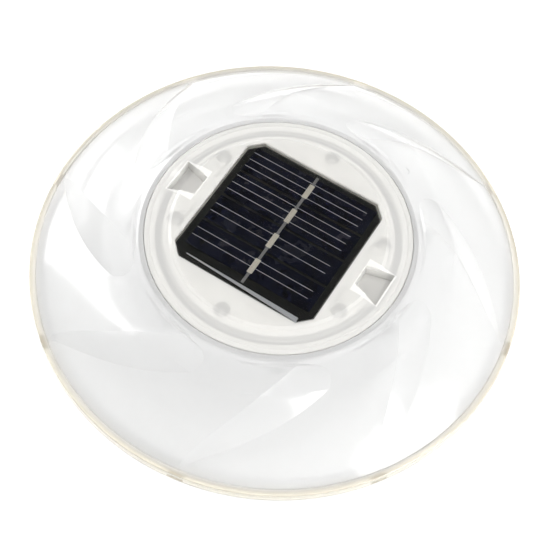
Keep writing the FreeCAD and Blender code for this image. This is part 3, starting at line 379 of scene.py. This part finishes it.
@dataclass(frozen=True)
class ClearMoulding:
    """Injection-moulded clear plastic. Flow and a light haze in the wall soften what is seen through it."""

    name: str
    tint: str = "#fbfcfc"
    roughness: tuple[float, float] = (0.04, 0.08)
    ior: float = 1.49
    clearness: float = 0.9
    depth_tint: str = "#e8e6dc"
    density: float = 8.0
    ripple_mm: float = 0.02
    ripple_size_mm: float = 14.0
    polished_half_mm: float = 0.0
    polished_corner_mm: float = 4.6
    notch_mm: Corner = (34.8, 46.8, 7.8)
    notch_clearness: float = 0.45
    polish_edge_mm: float = 0.5
    notch_edge_mm: float = 0.4
    # Painted light: a warm tint painted into the colour between two radii at the rim, for light carried a long way
    # inside the wall
    painted_rim_tint: str = ""
    painted_rim_mm: Point = (0.0, 0.0)

    def material(self) -> Material:
        """The finish as a material, with tint that grows with the depth of plastic."""
        material, tree, shader, place = new_material(self.name)
        flow = grain(tree, place, self.ripple_size_mm, 2.0)
        tree.links.new(spread(tree, flow, *self.roughness), shader.inputs["Roughness"])
        emboss(tree, shader, flow, self.ripple_mm)
        shader.inputs["Base Color"].default_value = srgb(self.tint)
        shader.inputs["IOR"].default_value = self.ior
        shader.inputs["Transmission Weight"].default_value = self.clearness
        if self.polished_half_mm:
            self.polish(tree, shader, place)
        if self.painted_rim_tint:
            self.paint_rim_tint(tree, shader, place)
        depth = add_node(tree, "ShaderNodeVolumeAbsorption", Color=srgb(self.depth_tint), Density=self.density)
        output = tree.nodes["Material Output"]
        tree.links.new(depth.outputs["Volume"], output.inputs["Volume"])
        return material

    def polish(self, tree: Tree, shader: Node, place: Socket) -> None:
        """Make an octagon over the panel fully clear, as a polished mould does, and frost both notches."""
        parts = add_node(tree, "ShaderNodeSeparateXYZ", {"Vector": place})
        x, y = (calculate(tree, "ABSOLUTE", parts.outputs[axis]) for axis in "XY")
        half = self.polished_half_mm * MM
        corner = calculate(tree, "SUBTRACT", calculate(tree, "ADD", x, y), half - self.polished_corner_mm * MM)
        square = calculate(tree, "MAXIMUM", x, y)
        octagon = calculate(tree, "SUBTRACT", calculate(tree, "MAXIMUM", square, corner), half)
        clear = remapped(tree, octagon, (0.0, self.polish_edge_mm * MM), (1.0, self.clearness))
        near = calculate(tree, "SUBTRACT", x, self.notch_mm[0] * MM)
        beside = calculate(tree, "SUBTRACT", self.notch_mm[2] * MM, y)
        past = calculate(tree, "SUBTRACT", self.notch_mm[1] * MM, x)
        inside = calculate(tree, "MINIMUM", calculate(tree, "MINIMUM", near, past), beside)
        share = self.notch_clearness / self.clearness
        frost = remapped(tree, inside, (0.0, self.notch_edge_mm * MM), (1.0, share))
        both = calculate(tree, "MULTIPLY", clear, frost)
        tree.links.new(both, shader.inputs["Transmission Weight"])

    def paint_rim_tint(self, tree: Tree, shader: Node, place: Socket) -> None:
        """Paint a warm tint on the rim's colour: painted light, for light that has come a long way inside the wall."""
        flat = add_node(tree, "ShaderNodeVectorMath", {0: place}, operation="MULTIPLY")
        flat.inputs[1].default_value = (1.0, 1.0, 0.0)
        radius = add_node(tree, "ShaderNodeVectorMath", {0: flat.outputs["Vector"]}, operation="LENGTH")
        start, end = self.painted_rim_mm
        edge = remapped(tree, radius.outputs["Value"], (start * MM, end * MM), (0.0, 1.0))
        colour = tinted(tree, edge, self.tint, self.painted_rim_tint)
        tree.links.new(colour, shader.inputs["Base Color"])


@dataclass(frozen=True)
class Solid:
    """An opaque moulded, coated or painted surface with slight variation in colour and gloss."""

    name: str
    dark: str
    light: str
    roughness: tuple[float, float]
    grain_mm: float
    bump_mm: float = 0.01
    metallic: float = 0.0
    coat: float = 0.0

    def material(self) -> Material:
        """The finish as a material."""
        material, tree, shader, place = new_material(self.name)
        value = grain(tree, place, self.grain_mm)
        tree.links.new(tinted(tree, value, self.dark, self.light), shader.inputs["Base Color"])
        tree.links.new(spread(tree, value, *self.roughness), shader.inputs["Roughness"])
        emboss(tree, shader, value, self.bump_mm)
        shader.inputs["Metallic"].default_value = self.metallic
        shader.inputs["Coat Weight"].default_value = self.coat
        return material


# Clear general-purpose polystyrene, moulded: water-clear with a faint milky haze inside the wall; its rim carries a
# painted warm tint for light carried inside the wall
STYRENE = ClearMoulding(
    "clear_styrene_moulded", tint="#fcfcfc", ior=1.57, clearness=0.66, roughness=(0.1, 0.14), density=20.0,
    ripple_size_mm=30.0, ripple_mm=0.04, painted_rim_tint="#eae4d4", painted_rim_mm=(93.0, 95.5)
)
# The lower shell's mould is spark-eroded: the same plastic, frosted; its rim carries a painted warm tint for light
# carried inside the wall
FROSTED_STYRENE = ClearMoulding(
    "frosted_styrene_moulded", ior=1.57, clearness=0.6, roughness=(0.31, 0.38), density=10.0, ripple_mm=0.03,
    painted_rim_tint="#b39a6c", painted_rim_mm=(93.8, 94.8)
)
# Clear polycarbonate, moulded thicker: a warm tint where the wall is deep
CARBONATE = ClearMoulding(
    "clear_polycarbonate_moulded", tint="#fefdfa", depth_tint="#eae5d4", density=14.0, clearness=0.6,
    roughness=(0.0, 0.02), ripple_size_mm=6.0, ripple_mm=0.004, polished_half_mm=30.0
)
# The capsule's base, in the same plastic with a satin inside
SATIN_CARBONATE = ClearMoulding(
    "satin_polycarbonate_moulded", depth_tint="#eae5d4", density=20.0, clearness=0.35, roughness=(0.15, 0.25)
)
# Cast epoxy over the cells: glossy and level, with a slight swell at the edge
EPOXY = ClearMoulding("cast_epoxy_clear", clearness=1.0, roughness=(0.02, 0.04), density=1.0, ripple_mm=0.004)
# Translucent silicone rubber: milky, soft gloss
SILICONE = ClearMoulding("silicone_rubber_translucent", tint="#f3f0e6", clearness=0.2, roughness=(0.35, 0.45))
# Black solder mask over glass fibre: near black with a satin weave
SOLDER_MASK = Solid("solder_mask_black", "#08080a", "#101013", (0.35, 0.5), 0.8)
# Silicon cell with a dark blue antireflection coat: glassy, faintly mottled
SILICON = Solid("silicon_cell_coated", "#0a0b1c", "#1a2040", (0.18, 0.3), 9.0, 0.002)
# Tinned copper: bright metal with smeared solder
TINNED = Solid("tinned_copper_ribbon", "#7b7b7d", "#b4b4b6", (0.35, 0.5), 0.8, 0.03, metallic=1.0)
# Solder over the ribbon's tabs: thick, pale and satin
SOLDER = Solid("solder_pale_satin", "#f1ecdf", "#fffdf6", (0.5, 0.62), 1.2, 0.05, metallic=1.0)
# Silver paste printed on the cells: fine, matt and pale
SILVER_PASTE = Solid("silver_paste_printed", "#dcdfe8", "#f6f8ff", (0.5, 0.62), 0.5, 0.002, metallic=1.0)
# Milky styrene plate behind the panel: lets a little light through
MILKY_STYRENE = ClearMoulding(
    "milky_styrene_moulded", tint="#f6f5f1", clearness=0.35, roughness=(0.31, 0.4), density=5.0
)
# White ABS, moulded: satin with fine sparks of gloss
WHITE_ABS = Solid("white_abs_moulded", "#e6e6e2", "#f0f0ec", (0.35, 0.5), 0.6, 0.008)
# White solder mask, as on LED boards
WHITE_MASK = Solid("solder_mask_white", "#e3e6e4", "#eef0ee", (0.3, 0.42), 0.8)
# Zinc-plated steel screws: greyish metal, brushed by the driver
ZINC = Solid("zinc_plated_steel", "#b4b7ba", "#d8dadc", (0.25, 0.4), 0.5, 0.01, metallic=1.0)
# Nickel-plated strip: warm bright metal
NICKEL = Solid("nickel_plated_strip", "#a8a49a", "#cbc7bc", (0.18, 0.3), 0.7, 0.005, metallic=1.0)
# Black nylon and moulding compound: dull and even
BLACK_NYLON = Solid("black_nylon_moulded", "#131314", "#1c1c1e", (0.5, 0.65), 0.4)
# PVC insulation on fine leads
PVC_RED = Solid("pvc_lead_red", "#a3201c", "#b82a24", (0.35, 0.45), 0.8)
PVC_BLACK = Solid("pvc_lead_black", "#141414", "#1d1d1d", (0.35, 0.45), 0.8)
# Shrink wrap on the cell: thin, tight and glossy
SHRINK_WRAP = Solid("pvc_shrink_wrap", "#c9d3da", "#d8e0e5", (0.18, 0.28), 3.0)
# Closed-cell foam: dull with small pores
FOAM = Solid("closed_cell_foam", "#d8d8d2", "#ecece6", (0.85, 0.95), 0.35, 0.05)
# Silicone button: dull dark grey
BUTTON_RUBBER = Solid("silicone_rubber_grey", "#3b3f44", "#464a50", (0.55, 0.7), 0.5)


def dress(piece: Piece, material: Material) -> None:
    """Give a piece one material."""
    piece.data.materials.clear()
    piece.data.materials.append(material)


class Body(Enum):
    """The bodies that pieces ride on."""

    FLOAT = "float"
    LAMP = "lamp"
    CAP = "cap"
    BUTTON = "button"


def fit(piece: Piece, body: Body, material: Material, *nodes: str) -> None:
    """Dress a new piece, let it ride on its body and stand for CAD nodes."""
    dress(piece, material)
    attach(piece, body.value)
    if nodes:
        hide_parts(*nodes)
    log.info("%s: %d faces, rides on %s", piece.name, len(piece.data.polygons), body.value)


# ---------------------------------------------------------------- the float


@dataclass
class Swirl:
    """Eight overlapping blades that sweep round a shell, each with a steep riser behind its crest."""

    blades: int = 8
    first_angle: float = 9.6
    rim: float = 96.0
    tip: float = 54.7
    end: float = 93.2
    rise: float = 4.8
    riser_columns: float = 0.25
    least_riser: float = 1.2
    outermost: float = 0.97
    reach: float = 0.40
    sweep: float = 117.9
    curl: float = 1.518
    riser: float = 64.8
    riser_opening: float = 0.1
    crest_opening: float = 0.12
    crest_closing: float = 0.27
    closing_power: float = 0.7
    hollow: float = 1.6

    def inward(self, radius: np.ndarray) -> np.ndarray:
        """How far inside the rim a radius is, as a share of the rim's radius."""
        return np.clip(self.outermost - radius / self.rim, 0.0, self.reach)

    def crest_turn(self, radius: np.ndarray) -> np.ndarray:
        """How far the crest has turned at a radius, in degrees."""
        return self.sweep * self.inward(radius) ** self.curl

    def riser_width(self, radius: np.ndarray) -> np.ndarray:
        """Angle between a blade's crest and its foot at a radius, in degrees."""
        opening = np.sqrt(np.clip((radius - self.tip) / (self.riser_opening * self.rim), 0.0, 1.0))
        return np.maximum(self.riser * self.inward(radius) * opening, self.least_riser)

    def crest_height(self, radius: np.ndarray) -> np.ndarray:
        """Height of the crest over the plain dome at a radius, in millimetres."""
        opening = np.sqrt(np.clip((radius - self.tip) / (self.crest_opening * self.rim), 0.0, 1.0))
        closing = np.clip((self.end - radius) / (self.crest_closing * self.rim), 0.0, 1.0) ** self.closing_power
        return self.rise * opening * closing

    def shape(self, piece: Piece, side: int) -> None:
        """Sweep a turned shell's columns along the blades and raise them.

        Args:
            piece: the turned shell.
            side: 1 to raise the blades, -1 to lower them, as on the underside.
        """
        count = len(piece.data.vertices)
        places = np.empty(count * 3)
        piece.data.vertices.foreach_get("co", places)
        x, y, z = places.reshape(-1, 3).T / MM
        radius = np.hypot(x, y)
        pitch = 360 / self.blades
        column = (np.degrees(np.arctan2(y, x)) % 360) / pitch
        blade, share = np.divmod(column + 1e-6, 1.0)
        crest = self.crest_turn(radius)
        width = self.riser_width(radius)
        in_riser = share < self.riser_columns
        down = share / self.riser_columns
        along = np.clip((share - self.riser_columns) / (1 - self.riser_columns), 0, 1)
        turn = np.where(in_riser, crest + width * down, crest + width + (pitch - width) * along)
        level = np.where(in_riser, 1 - down, along**self.hollow)
        angle = np.radians(self.first_angle + blade * pitch + turn)
        places = np.stack(
            [radius * np.cos(angle), radius * np.sin(angle), z + side * level * self.crest_height(radius)], 1
        )
        piece.data.vertices.foreach_set("co", (places * MM).ravel())
        piece.data.update()


@dataclass
class FloatShells:
    """The two clear shells of the float and the seals between them."""

    rim: float = 96.0
    rim_bottom: float = 24.9
    rim_top: float = 30.1
    land: float = 6.0
    skirt: float = 1.6
    wall: float = 2.0
    crown: float = 51.4
    dome: float = 145.0
    bore: float = 51.0
    collar: float = 52.8
    seat: float = 42.8
    ledge: float = 41.0
    drum_room: float = 45.2
    well: float = 38.0
    step: float = 31.0
    foot: float = 50.0
    hook_angles: tuple[float, ...] = (59.0, 149.0, 239.0, 329.0)
    catch_angles: tuple[float, ...] = tuple(9.6 + 45 * place for place in range(8))
    mark_place: Point = (57.6, 63.0)
    dome_start: Point = (2.6, 0.3)
    bead: float = 2.2
    dome_wall: float = 2.2
    sleeve: float = 1.9
    seal_groove: Point = (1.6, 4.5)
    lower_gap: Point = (0.3, 0.4)
    lower_wall: float = 1.6
    drum_top: float = 40.2
    hook_radii: Point = (48.9, 51.6)
    hook_heights: Point = (45.6, 47.6)
    hook_span: float = 30.0
    stop_heights: Point = (42.4, 47.4)
    stop_turn: float = 16.4
    stop_span: float = 3.0
    window: tuple[Point, Point, float] = ((93.0, 97.0), (26.0, 27.8), 3.6)
    tooth: tuple[Point, Point, float] = ((93.0, 95.5), (26.2, 27.4), 3.2)
    mark_radii: Point = (2.0, 1.5)
    mark_heights: Point = (48.0, 50.1)
    columns: int = 384
    rows: int = 44

    def upper_outline(self) -> list[Point]:
        """Section of the upper shell."""
        inner, under = self.rim - self.land, self.rim_top - self.wall
        start = (self.rim - self.dome_start[0], self.rim_top - self.dome_start[1])
        outer_dome = arc_between(start, (self.collar, self.crown), self.dome, self.rows)
        inner_start = (self.collar, self.crown - self.dome_wall)
        inner_dome = arc_between(inner_start, (inner - 1, under), self.dome, self.rows, -1)
        sleeve = self.drum_room + self.sleeve
        groove, depth = self.seal_groove
        return rounded(
            [
                (self.rim, self.rim_bottom, 0.4),
                (self.rim, self.rim_top, 0.7),
                (self.rim - self.bead, self.rim_top, 0.3),
                *outer_dome,
                (self.bore, self.crown, 0.4),
                (self.bore, self.seat, 0.2),
                (self.drum_room, self.seat, 0.2),
                (self.drum_room, self.ledge, 0.1),
                (sleeve, self.ledge, 0.0),
                (sleeve, self.ledge - depth, 0.1),
                (sleeve + groove, self.ledge - depth, 0.1),
                (sleeve + groove, self.ledge, 0.2),
                (self.collar, self.ledge, 0.3),
                *inner_dome,
                (self.rim - self.skirt, under, 0.2),
                (self.rim - self.skirt, self.rim_bottom, 0.2),
            ]
        )

    def lower_outline(self) -> list[Point]:
        """Section of the lower shell."""
        beside, below = self.lower_gap
        lip, top = self.rim - self.skirt - beside, self.rim_top - self.wall - below
        under = top - self.wall
        outer_dome = arc_between((self.foot, 0.0), (self.rim - self.land, under), self.dome, self.rows)
        inner_start = (self.rim - self.land - self.wall, top)
        inner_dome = arc_between(inner_start, (self.foot - 1, self.wall), self.dome, self.rows, -1)
        drum = self.drum_room + self.lower_wall
        inside, ceiling = self.well + self.lower_wall, self.step - self.lower_wall
        return rounded(
            [
                (self.well, 0.0, 0.6),
                *outer_dome,
                (lip, under, 0.2),
                (lip, top, 0.2),
                *inner_dome,
                (inside, self.wall, 0.4),
                (inside, ceiling, 0.4),
                (drum, ceiling, 0.4),
                (drum, self.drum_top, 0.2),
                (self.drum_room, self.drum_top, 0.2),
                (self.drum_room, self.step, 0.3),
                (self.well, self.step, 0.4),
            ]
        )

    def build(self) -> None:
        """Turn, sweep and dress both shells."""
        swirl = Swirl(rim=self.rim)
        for name, outline, side, finish in (
            ("upper_shell_clear", self.upper_outline(), 1, STYRENE),
            ("lower_shell_clear", self.lower_outline(), -1, FROSTED_STYRENE),
        ):
            shell = spun(name, outline, self.columns)
            swirl.shape(shell, side)
            if side > 0:
                self.add_collar(shell)
            else:
                self.add_catches(shell, "tooth", self.tooth, "UNION")
            smooth(shell, 6.0)
            fit(shell, Body.FLOAT, finish.material(), name.removesuffix("_clear"))
        silicone = SILICONE.material()
        for node in ("rim_seal", "collar_seal"):
            dress(frame["nodes"][node], silicone)

    def add_collar(self, shell: Piece) -> None:
        """Give the upper shell its bayonet hooks with stops, catch windows and moulded mark."""
        hooks = [
            sector("hook", self.hook_radii, self.hook_heights, angle, self.hook_span) for angle in self.hook_angles
        ]
        stops = [
            sector("stop", self.hook_radii, self.stop_heights, angle - self.stop_turn, self.stop_span)
            for angle in self.hook_angles
        ]
        combine(shell, joined("hooks", hooks), "UNION")
        combine(shell, joined("stops", stops), "UNION")
        self.add_catches(shell, "window", self.window, "DIFFERENCE")
        spot = polar(*self.mark_place)
        (outer, inner), (bottom, top) = self.mark_radii, self.mark_heights
        mark = rod("mark", outer, bottom, top, spot)
        combine(mark, rod("hollow", inner, bottom - 1, top + 0.9, spot), "DIFFERENCE")
        combine(shell, mark, "UNION")

    def add_catches(self, shell: Piece, name: str, block: tuple[Point, Point, float], operation: str) -> None:
        """Cut the windows of the rim's catches, or add the teeth that snap into them."""
        blocks = [sector(name, block[0], block[1], angle, block[2]) for angle in self.catch_angles]
        combine(shell, joined(f"{name}s", blocks), operation)


# ---------------------------------------------------------------- the lamp capsule


@dataclass
class HubCover:
    """The stepped clear cover with two finger notches, six screw bosses and ribs round the panel."""

    crown: float = 51.4
    window: float = 40.6
    window_top: float = 53.6
    wall: float = 1.8
    lip: float = 50.8
    lip_bottom: float = 48.0
    ring: tuple[float, float] = (43.6, 46.6)
    ring_bottom: float = 45.8
    boss_circle: float = 39.4
    boss_angles: tuple[float, ...] = (25.0, 90.0, 155.0, 205.0, 270.0, 335.0)
    boss: Corner = (3.0, 36.2, 52.0)
    pilot: Corner = (1.4, 35.0, 47.7)
    pilot_sides: int = 16
    step: float = 0.6
    edge: float = 0.3
    bevel: Point = (1.6, 2.2)
    window_edge: Point = (1.2, 0.7)
    notch: tuple[float, ...] = (35.3, 46.0, 4.5, 7.4)
    notch_heights: Point = (47.3, 56.0)
    notch_wall: float = 1.4
    pocket_top: float = 51.6
    rib: Point = (32.3, 33.5)
    rib_middle: float = 13.0
    rib_half: float = 6.25
    rib_heights: Point = (48.6, 52.2)
    columns: int = 256

    def outline(self) -> list[Point]:
        """Section of the cover."""
        under = self.window_top - self.wall
        slope = (self.window_top - self.step - self.crown) / (self.lip - self.window - self.step)

        def below(radius: float) -> float:
            """Height of the cover's underside at a radius."""
            return self.crown + slope * (self.lip - radius) - self.wall

        inner, outer = self.ring
        near, far = self.bevel
        inside = self.lip - self.wall
        return rounded(
            [
                (0.0, under, 0.0),
                (self.window - self.step, under, 0.3),
                (inner, below(inner), 0.4),
                (inner, self.ring_bottom, 0.2),
                (outer, self.ring_bottom, 0.2),
                (outer, below(outer), 0.5),
                (inside, below(inside), 0.4),
                (inside, self.lip_bottom, 0.2),
                (self.lip, self.lip_bottom, 0.3),
                (self.lip, self.crown, 0.6),
                (self.lip - near, self.crown + slope * near, 0.2),
                (self.lip - far, self.crown + slope * far - self.edge, 0.2),
                (self.window + self.window_edge[0], self.window_top - self.window_edge[1], 0.3),
                (self.window, self.window_top, 0.3),
                (0.0, self.window_top, 0.0),
            ]
        )

    def fan(self, side: int, grow: float) -> list[Point]:
        """Outline of a finger notch, grown by a wall."""
        near, far, inner, outer = self.notch
        near, far, inner, outer = near - grow, far + grow, inner + grow, outer + grow
        points = [(near, -inner), (far, -outer), (far, outer), (near, inner)]
        return [(side * x, side * y) for x, y in points]

    def ribs(self) -> Iterator[Piece]:
        """Two ribs along each side of the panel."""
        bottom, top = self.rib_heights
        for side in (1, -1):
            near, far = sorted(side * place for place in self.rib)
            for end in (1, -1):
                low, high = (end * self.rib_middle + half for half in (-self.rib_half, self.rib_half))
                yield bar("rib", (near, low, bottom), (far, high, top))
                yield bar("rib", (low, near, bottom), (high, far, top))

    def build(self) -> None:
        """Turn the cover, add its pockets, bosses and ribs, and sink the notches."""
        cover = spun("hub_cover_clear", self.outline(), self.columns)
        spots = [polar(self.boss_circle, angle) for angle in self.boss_angles]
        for side in (1, -1):
            pocket = prism("pocket", self.fan(side, self.notch_wall), self.ring_bottom, self.pocket_top)
            combine(cover, pocket, "UNION")
        for spot in spots:
            combine(cover, rod("boss", *self.boss, spot), "UNION")
        for rib in self.ribs():
            combine(cover, rib, "UNION")
        for side in (1, -1):
            combine(cover, prism("notch", self.fan(side, 0.0), *self.notch_heights), "DIFFERENCE")
        for spot in spots:
            combine(cover, rod("pilot", *self.pilot, spot, self.pilot_sides), "DIFFERENCE")
        smooth(cover, 30.0)
        modify(cover, "WEIGHTED_NORMAL", keep_sharp=True)
        fit(cover, Body.LAMP, CARBONATE.material(), "hub_cover")


@dataclass
class SolarPanel:
    """The four-cell panel: board, cells with printed fingers, tabbing ribbon, a strip that is also a painted
    highlight, and resin.
    """

    half: float = 30.0
    corner: float = 5.0
    board_top: float = 50.8
    cell_top: float = 51.05
    rows: tuple[float, ...] = (21.7, 8.7, -4.3, -17.3)
    fingers: tuple[float, ...] = (25.1, 21.6, 18.2, 12.7, 9.1, 5.6, -2.4, -6.1, -15.0, -18.6)
    finger_ends: tuple[float, float] = (-26.9, 23.8)
    finger_width: float = 0.2
    finger_heights: Point = (-0.05, 0.02)
    corner_share: float = 0.4
    resin_inset: float = 0.3
    resin_heights: Point = (0.01, 0.65)
    ribbon_ends: Point = (-26.2, 28.6)
    ribbon_half: float = 0.6
    ribbon_wall: float = 0.1
    tab_half: float = 1.1
    tab_ends: Point = (-4.0, 2.8)
    tab_heights: Point = (0.02, 0.2)
    # Outline of the pale strip, tapered like a painted highlight along the resin's edge
    highlight_strip_outline: tuple[Point, ...] = ((-24.0, -27.0), (25.0, -29.2), (25.0, -27.2), (-24.0, -26.6))
    highlight_strip_wall: float = 0.12

    def outline(self, inset: float) -> list[Point]:
        """The square with cut corners."""
        far, near = self.half - inset, self.half - self.corner - inset * self.corner_share
        quarter = [(far, near), (near, far), (-near, far), (-far, near)]
        return quarter + [(-x, -y) for x, y in quarter]

    def build(self) -> None:
        """Model what the cells carry and dress the CAD pieces."""
        nodes = frame["nodes"]
        dress(nodes["panel_board"], SOLDER_MASK.material())
        dress(nodes["solar_cells"], SILICON.material())
        dress(nodes["panel_pads"], FOAM.material())
        paste, tinned = SILVER_PASTE.material(), TINNED.material()
        left, right = self.finger_ends
        low, high = (self.cell_top + height for height in self.finger_heights)
        half = self.finger_width / 2
        fingers = [bar("finger", (left, place - half, low), (right, place + half, high)) for place in self.fingers]
        fit(joined("cell_fingers", fingers), Body.LAMP, paste)
        fit(self.ribbon(), Body.LAMP, tinned, "panel_ribbon")
        fit(self.tabs(), Body.LAMP, SOLDER.material())
        # The bus strip doubles as a painted highlight: pale and tapered like the reflection along the resin's edge
        fit(self.strip(), Body.LAMP, paste, "bus_strip")
        bottom, top = (self.cell_top + height for height in self.resin_heights)
        resin = prism("panel_resin_clear", self.outline(self.resin_inset), bottom, top)
        modify(resin, "BEVEL", width=0.2 * MM, segments=3, limit_method="ANGLE")
        smooth(resin)
        modify(resin, "WEIGHTED_NORMAL", keep_sharp=True)
        fit(resin, Body.LAMP, EPOXY.material(), "panel_resin")

    def ribbon(self) -> Piece:
        """Tinned ribbon along the panel's middle."""
        half, (near, far) = self.ribbon_half, self.ribbon_ends
        low, high = (-half, near, self.cell_top), (half, far, self.cell_top + self.ribbon_wall)
        strip = bar("panel_ribbon_tinned", low, high)
        modify(strip, "BEVEL", width=0.05 * MM, segments=2)
        return strip

    def tabs(self) -> Piece:
        """Pale solder over the ribbon, one stretch to each cell."""
        half, (near, far) = self.tab_half, self.tab_ends
        low, high = (self.cell_top + height for height in self.tab_heights)
        tabs = [bar("tab", (-half, row + near, low), (half, row + far, high)) for row in self.rows]
        whole = joined("ribbon_solder_tabs", tabs)
        modify(whole, "BEVEL", width=0.08 * MM, segments=2)
        return whole

    def strip(self) -> Piece:
        """Tapered pale strip beside the last cell: a bus strip, made pale and tapered as a painted highlight along the
        resin's edge.
        """
        top = self.board_top + self.highlight_strip_wall
        return prism("bus_strip_painted_highlight", list(self.highlight_strip_outline), self.board_top, top)


@dataclass
class LampWorks:
    """The capsule's base and all that it holds, as CAD nodes with their real finishes."""

    def build(self) -> None:
        """Dress every node that keeps its CAD shape."""
        white, zinc = WHITE_ABS.material(), ZINC.material()
        nickel, black = NICKEL.material(), BLACK_NYLON.material()
        finishes = {
            "lamp_base": SATIN_CARBONATE.material(),
            "capsule_seal": SILICONE.material(),
            "cap_seal": SILICONE.material(),
            "reflector": MILKY_STYRENE.material(),
            "contact_cap": white,
            "battery_cap": white,
            "light_board": WHITE_MASK.material(),
            "cover_screws": zinc,
            "board_screws": zinc,
            "battery_spring": zinc,
            "spring_contact": nickel,
            "cap_contact": nickel,
            "contact_strip": nickel,
            "leds": EPOXY.material(),
            "control_chip": black,
            "drive_inductor": black,
            "switch_body": black,
            "switch_plunger": black,
            "panel_lead_plus": PVC_RED.material(),
            "battery_lead": PVC_RED.material(),
            "panel_lead_minus": PVC_BLACK.material(),
            "battery": SHRINK_WRAP.material(),
            "power_button": BUTTON_RUBBER.material(),
        }
        for node, material in finishes.items():
            dress(frame["nodes"][node], material)
            log.info("%s keeps its CAD shape: %s", node, material.name)


# ---------------------------------------------------------------- the studio


@dataclass
class Studio:
    """Plain pale floor, a bright soft surround and a camera that looks down at the float."""

    centre_height: float = 27.5
    distance: float = 5.052 * 96.0
    elevation: float = 60.61
    azimuth: float = 27.14
    roll: float = 5.39
    lens: float = 80.6
    shift: Point = (-0.00231, -0.02167)
    floor_side: float = 6.0
    lamp_distance: float = 1.2
    card_edge: Point = (0.955, 0.988)
    card_shade: Point = (1.0, 0.01)
    sky_rise: Point = (0.0, 0.45)
    sky_strength: Point = (0.5, 1.45)

    def build(self) -> None:
        """Make the floor, the surround, the lamps and the camera."""
        self.floor()
        self.surround()
        self.softbox("softbox_key", (1.0, -0.75, 75), 0.8, 11.0)
        self.softbox("softbox_fill", (-1.0, 0.8, 66), 0.8, 7.0)
        self.camera()

    def floor(self) -> None:
        """A wide matt white floor, which a view from below sees through."""
        deselect_all()
        bpy.ops.mesh.primitive_plane_add(size=self.floor_side, location=(0, 0, 0))
        floor = bpy.context.object
        floor.name = "studio_floor"
        material, tree, shader, _ = new_material("white_card_matt")
        shader.inputs["Base Color"].default_value = srgb("#f8f8f8")
        shader.inputs["Roughness"].default_value = 0.9
        shader.inputs["Specular IOR Level"].default_value = 0.0
        below = add_node(tree, "ShaderNodeNewGeometry").outputs["Backfacing"]
        clear = add_node(tree, "ShaderNodeBsdfTransparent").outputs["BSDF"]
        both = add_node(tree, "ShaderNodeMixShader", {0: below, 1: shader.outputs["BSDF"], 2: clear})
        tree.links.new(both.outputs["Shader"], tree.nodes["Material Output"].inputs["Surface"])
        dress(floor, material)

    def surround(self) -> None:
        """A bright even surround with one dark card high behind the object, which the panel mirrors."""
        world = bpy.data.worlds.new("studio_surround")
        bpy.context.scene.world = world
        world.use_nodes = True
        tree = world.node_tree
        back = tree.nodes["Background"]
        toward = self.back()
        card = Vector((-toward.x, -toward.y, toward.z))
        place = add_node(tree, "ShaderNodeTexCoord").outputs["Generated"]
        near = add_node(tree, "ShaderNodeVectorMath", {0: place}, operation="DOT_PRODUCT")
        near.inputs[1].default_value = card
        shade = remapped(tree, near.outputs["Value"], self.card_edge, self.card_shade, interpolation_type="SMOOTHSTEP")
        height = add_node(tree, "ShaderNodeSeparateXYZ", {"Vector": place}).outputs["Z"]
        sky = remapped(tree, height, self.sky_rise, self.sky_strength, interpolation_type="SMOOTHSTEP")
        both = calculate(tree, "MULTIPLY", shade, sky)
        tree.links.new(both, back.inputs["Strength"])
        back.inputs["Color"].default_value = srgb("#ffffff")

    def softbox(self, name: str, heading: tuple[float, float, float], size: float, power: float) -> None:
        """A square softbox that faces the float.

        Args:
            name: the lamp's name.
            heading: its way to the right of and behind the float as the camera sees it, and its angle from
                straight above, in degrees.
            size: its side, in metres.
            power: its power, in watts.
        """
        turn, lean = math.radians(self.azimuth), math.radians(heading[2])
        flat = Vector((math.cos(turn), math.sin(turn), 0)) * heading[0]
        flat += Vector((-math.sin(turn), math.cos(turn), 0)) * heading[1]
        spot = self.lamp_distance * (flat.normalized() * math.sin(lean) + Vector((0, 0, math.cos(lean))))
        data = bpy.data.lights.new(name, "AREA")
        data.size = size
        data.energy = power
        lamp = bpy.data.objects.new(name, data)
        bpy.context.scene.collection.objects.link(lamp)
        lamp.location = spot
        aim = Vector((0, 0, self.centre_height * MM)) - spot
        lamp.rotation_euler = aim.to_track_quat("-Z", "Y").to_euler()

    def back(self) -> Vector:
        """Direction from the float to the camera."""
        turn, lift = math.radians(self.azimuth), math.radians(self.elevation)
        return Vector((math.sin(turn) * math.cos(lift), -math.cos(turn) * math.cos(lift), math.sin(lift)))

    def camera(self) -> None:
        """The camera, with its roll and a small shift."""
        data = bpy.data.cameras.new("camera")
        data.lens = self.lens
        data.sensor_width = 36.0
        data.shift_x, data.shift_y = self.shift
        data.clip_start = 0.01
        camera = bpy.data.objects.new("camera", data)
        bpy.context.scene.collection.objects.link(camera)
        back = self.back()
        camera.location = Vector((0, 0, self.centre_height * MM)) + back * self.distance * MM
        camera.rotation_mode = "QUATERNION"
        level = (-back).to_track_quat("-Z", "Y")
        tilt = Quaternion(back, math.radians(self.roll))
        camera.rotation_quaternion = tilt @ level
        bpy.context.scene.camera = camera


def set_view() -> None:
    """Plain colour rendering, with room for light to pass through many clear walls."""
    scene = bpy.context.scene
    scene.view_settings.view_transform = "Standard"
    scene.view_settings.look = "None"
    scene.cycles.max_bounces = 40
    scene.cycles.transmission_bounces = 40
    scene.cycles.transparent_max_bounces = 24


def main() -> None:
    """Build the pool light and its studio, and report each piece."""
    logging.basicConfig(level=logging.INFO, format="%(name)s: %(message)s")
    Studio().build()
    set_view()
    FloatShells().build()
    HubCover().build()
    SolarPanel().build()
    LampWorks().build()


if __name__ == "__main__":
    main()
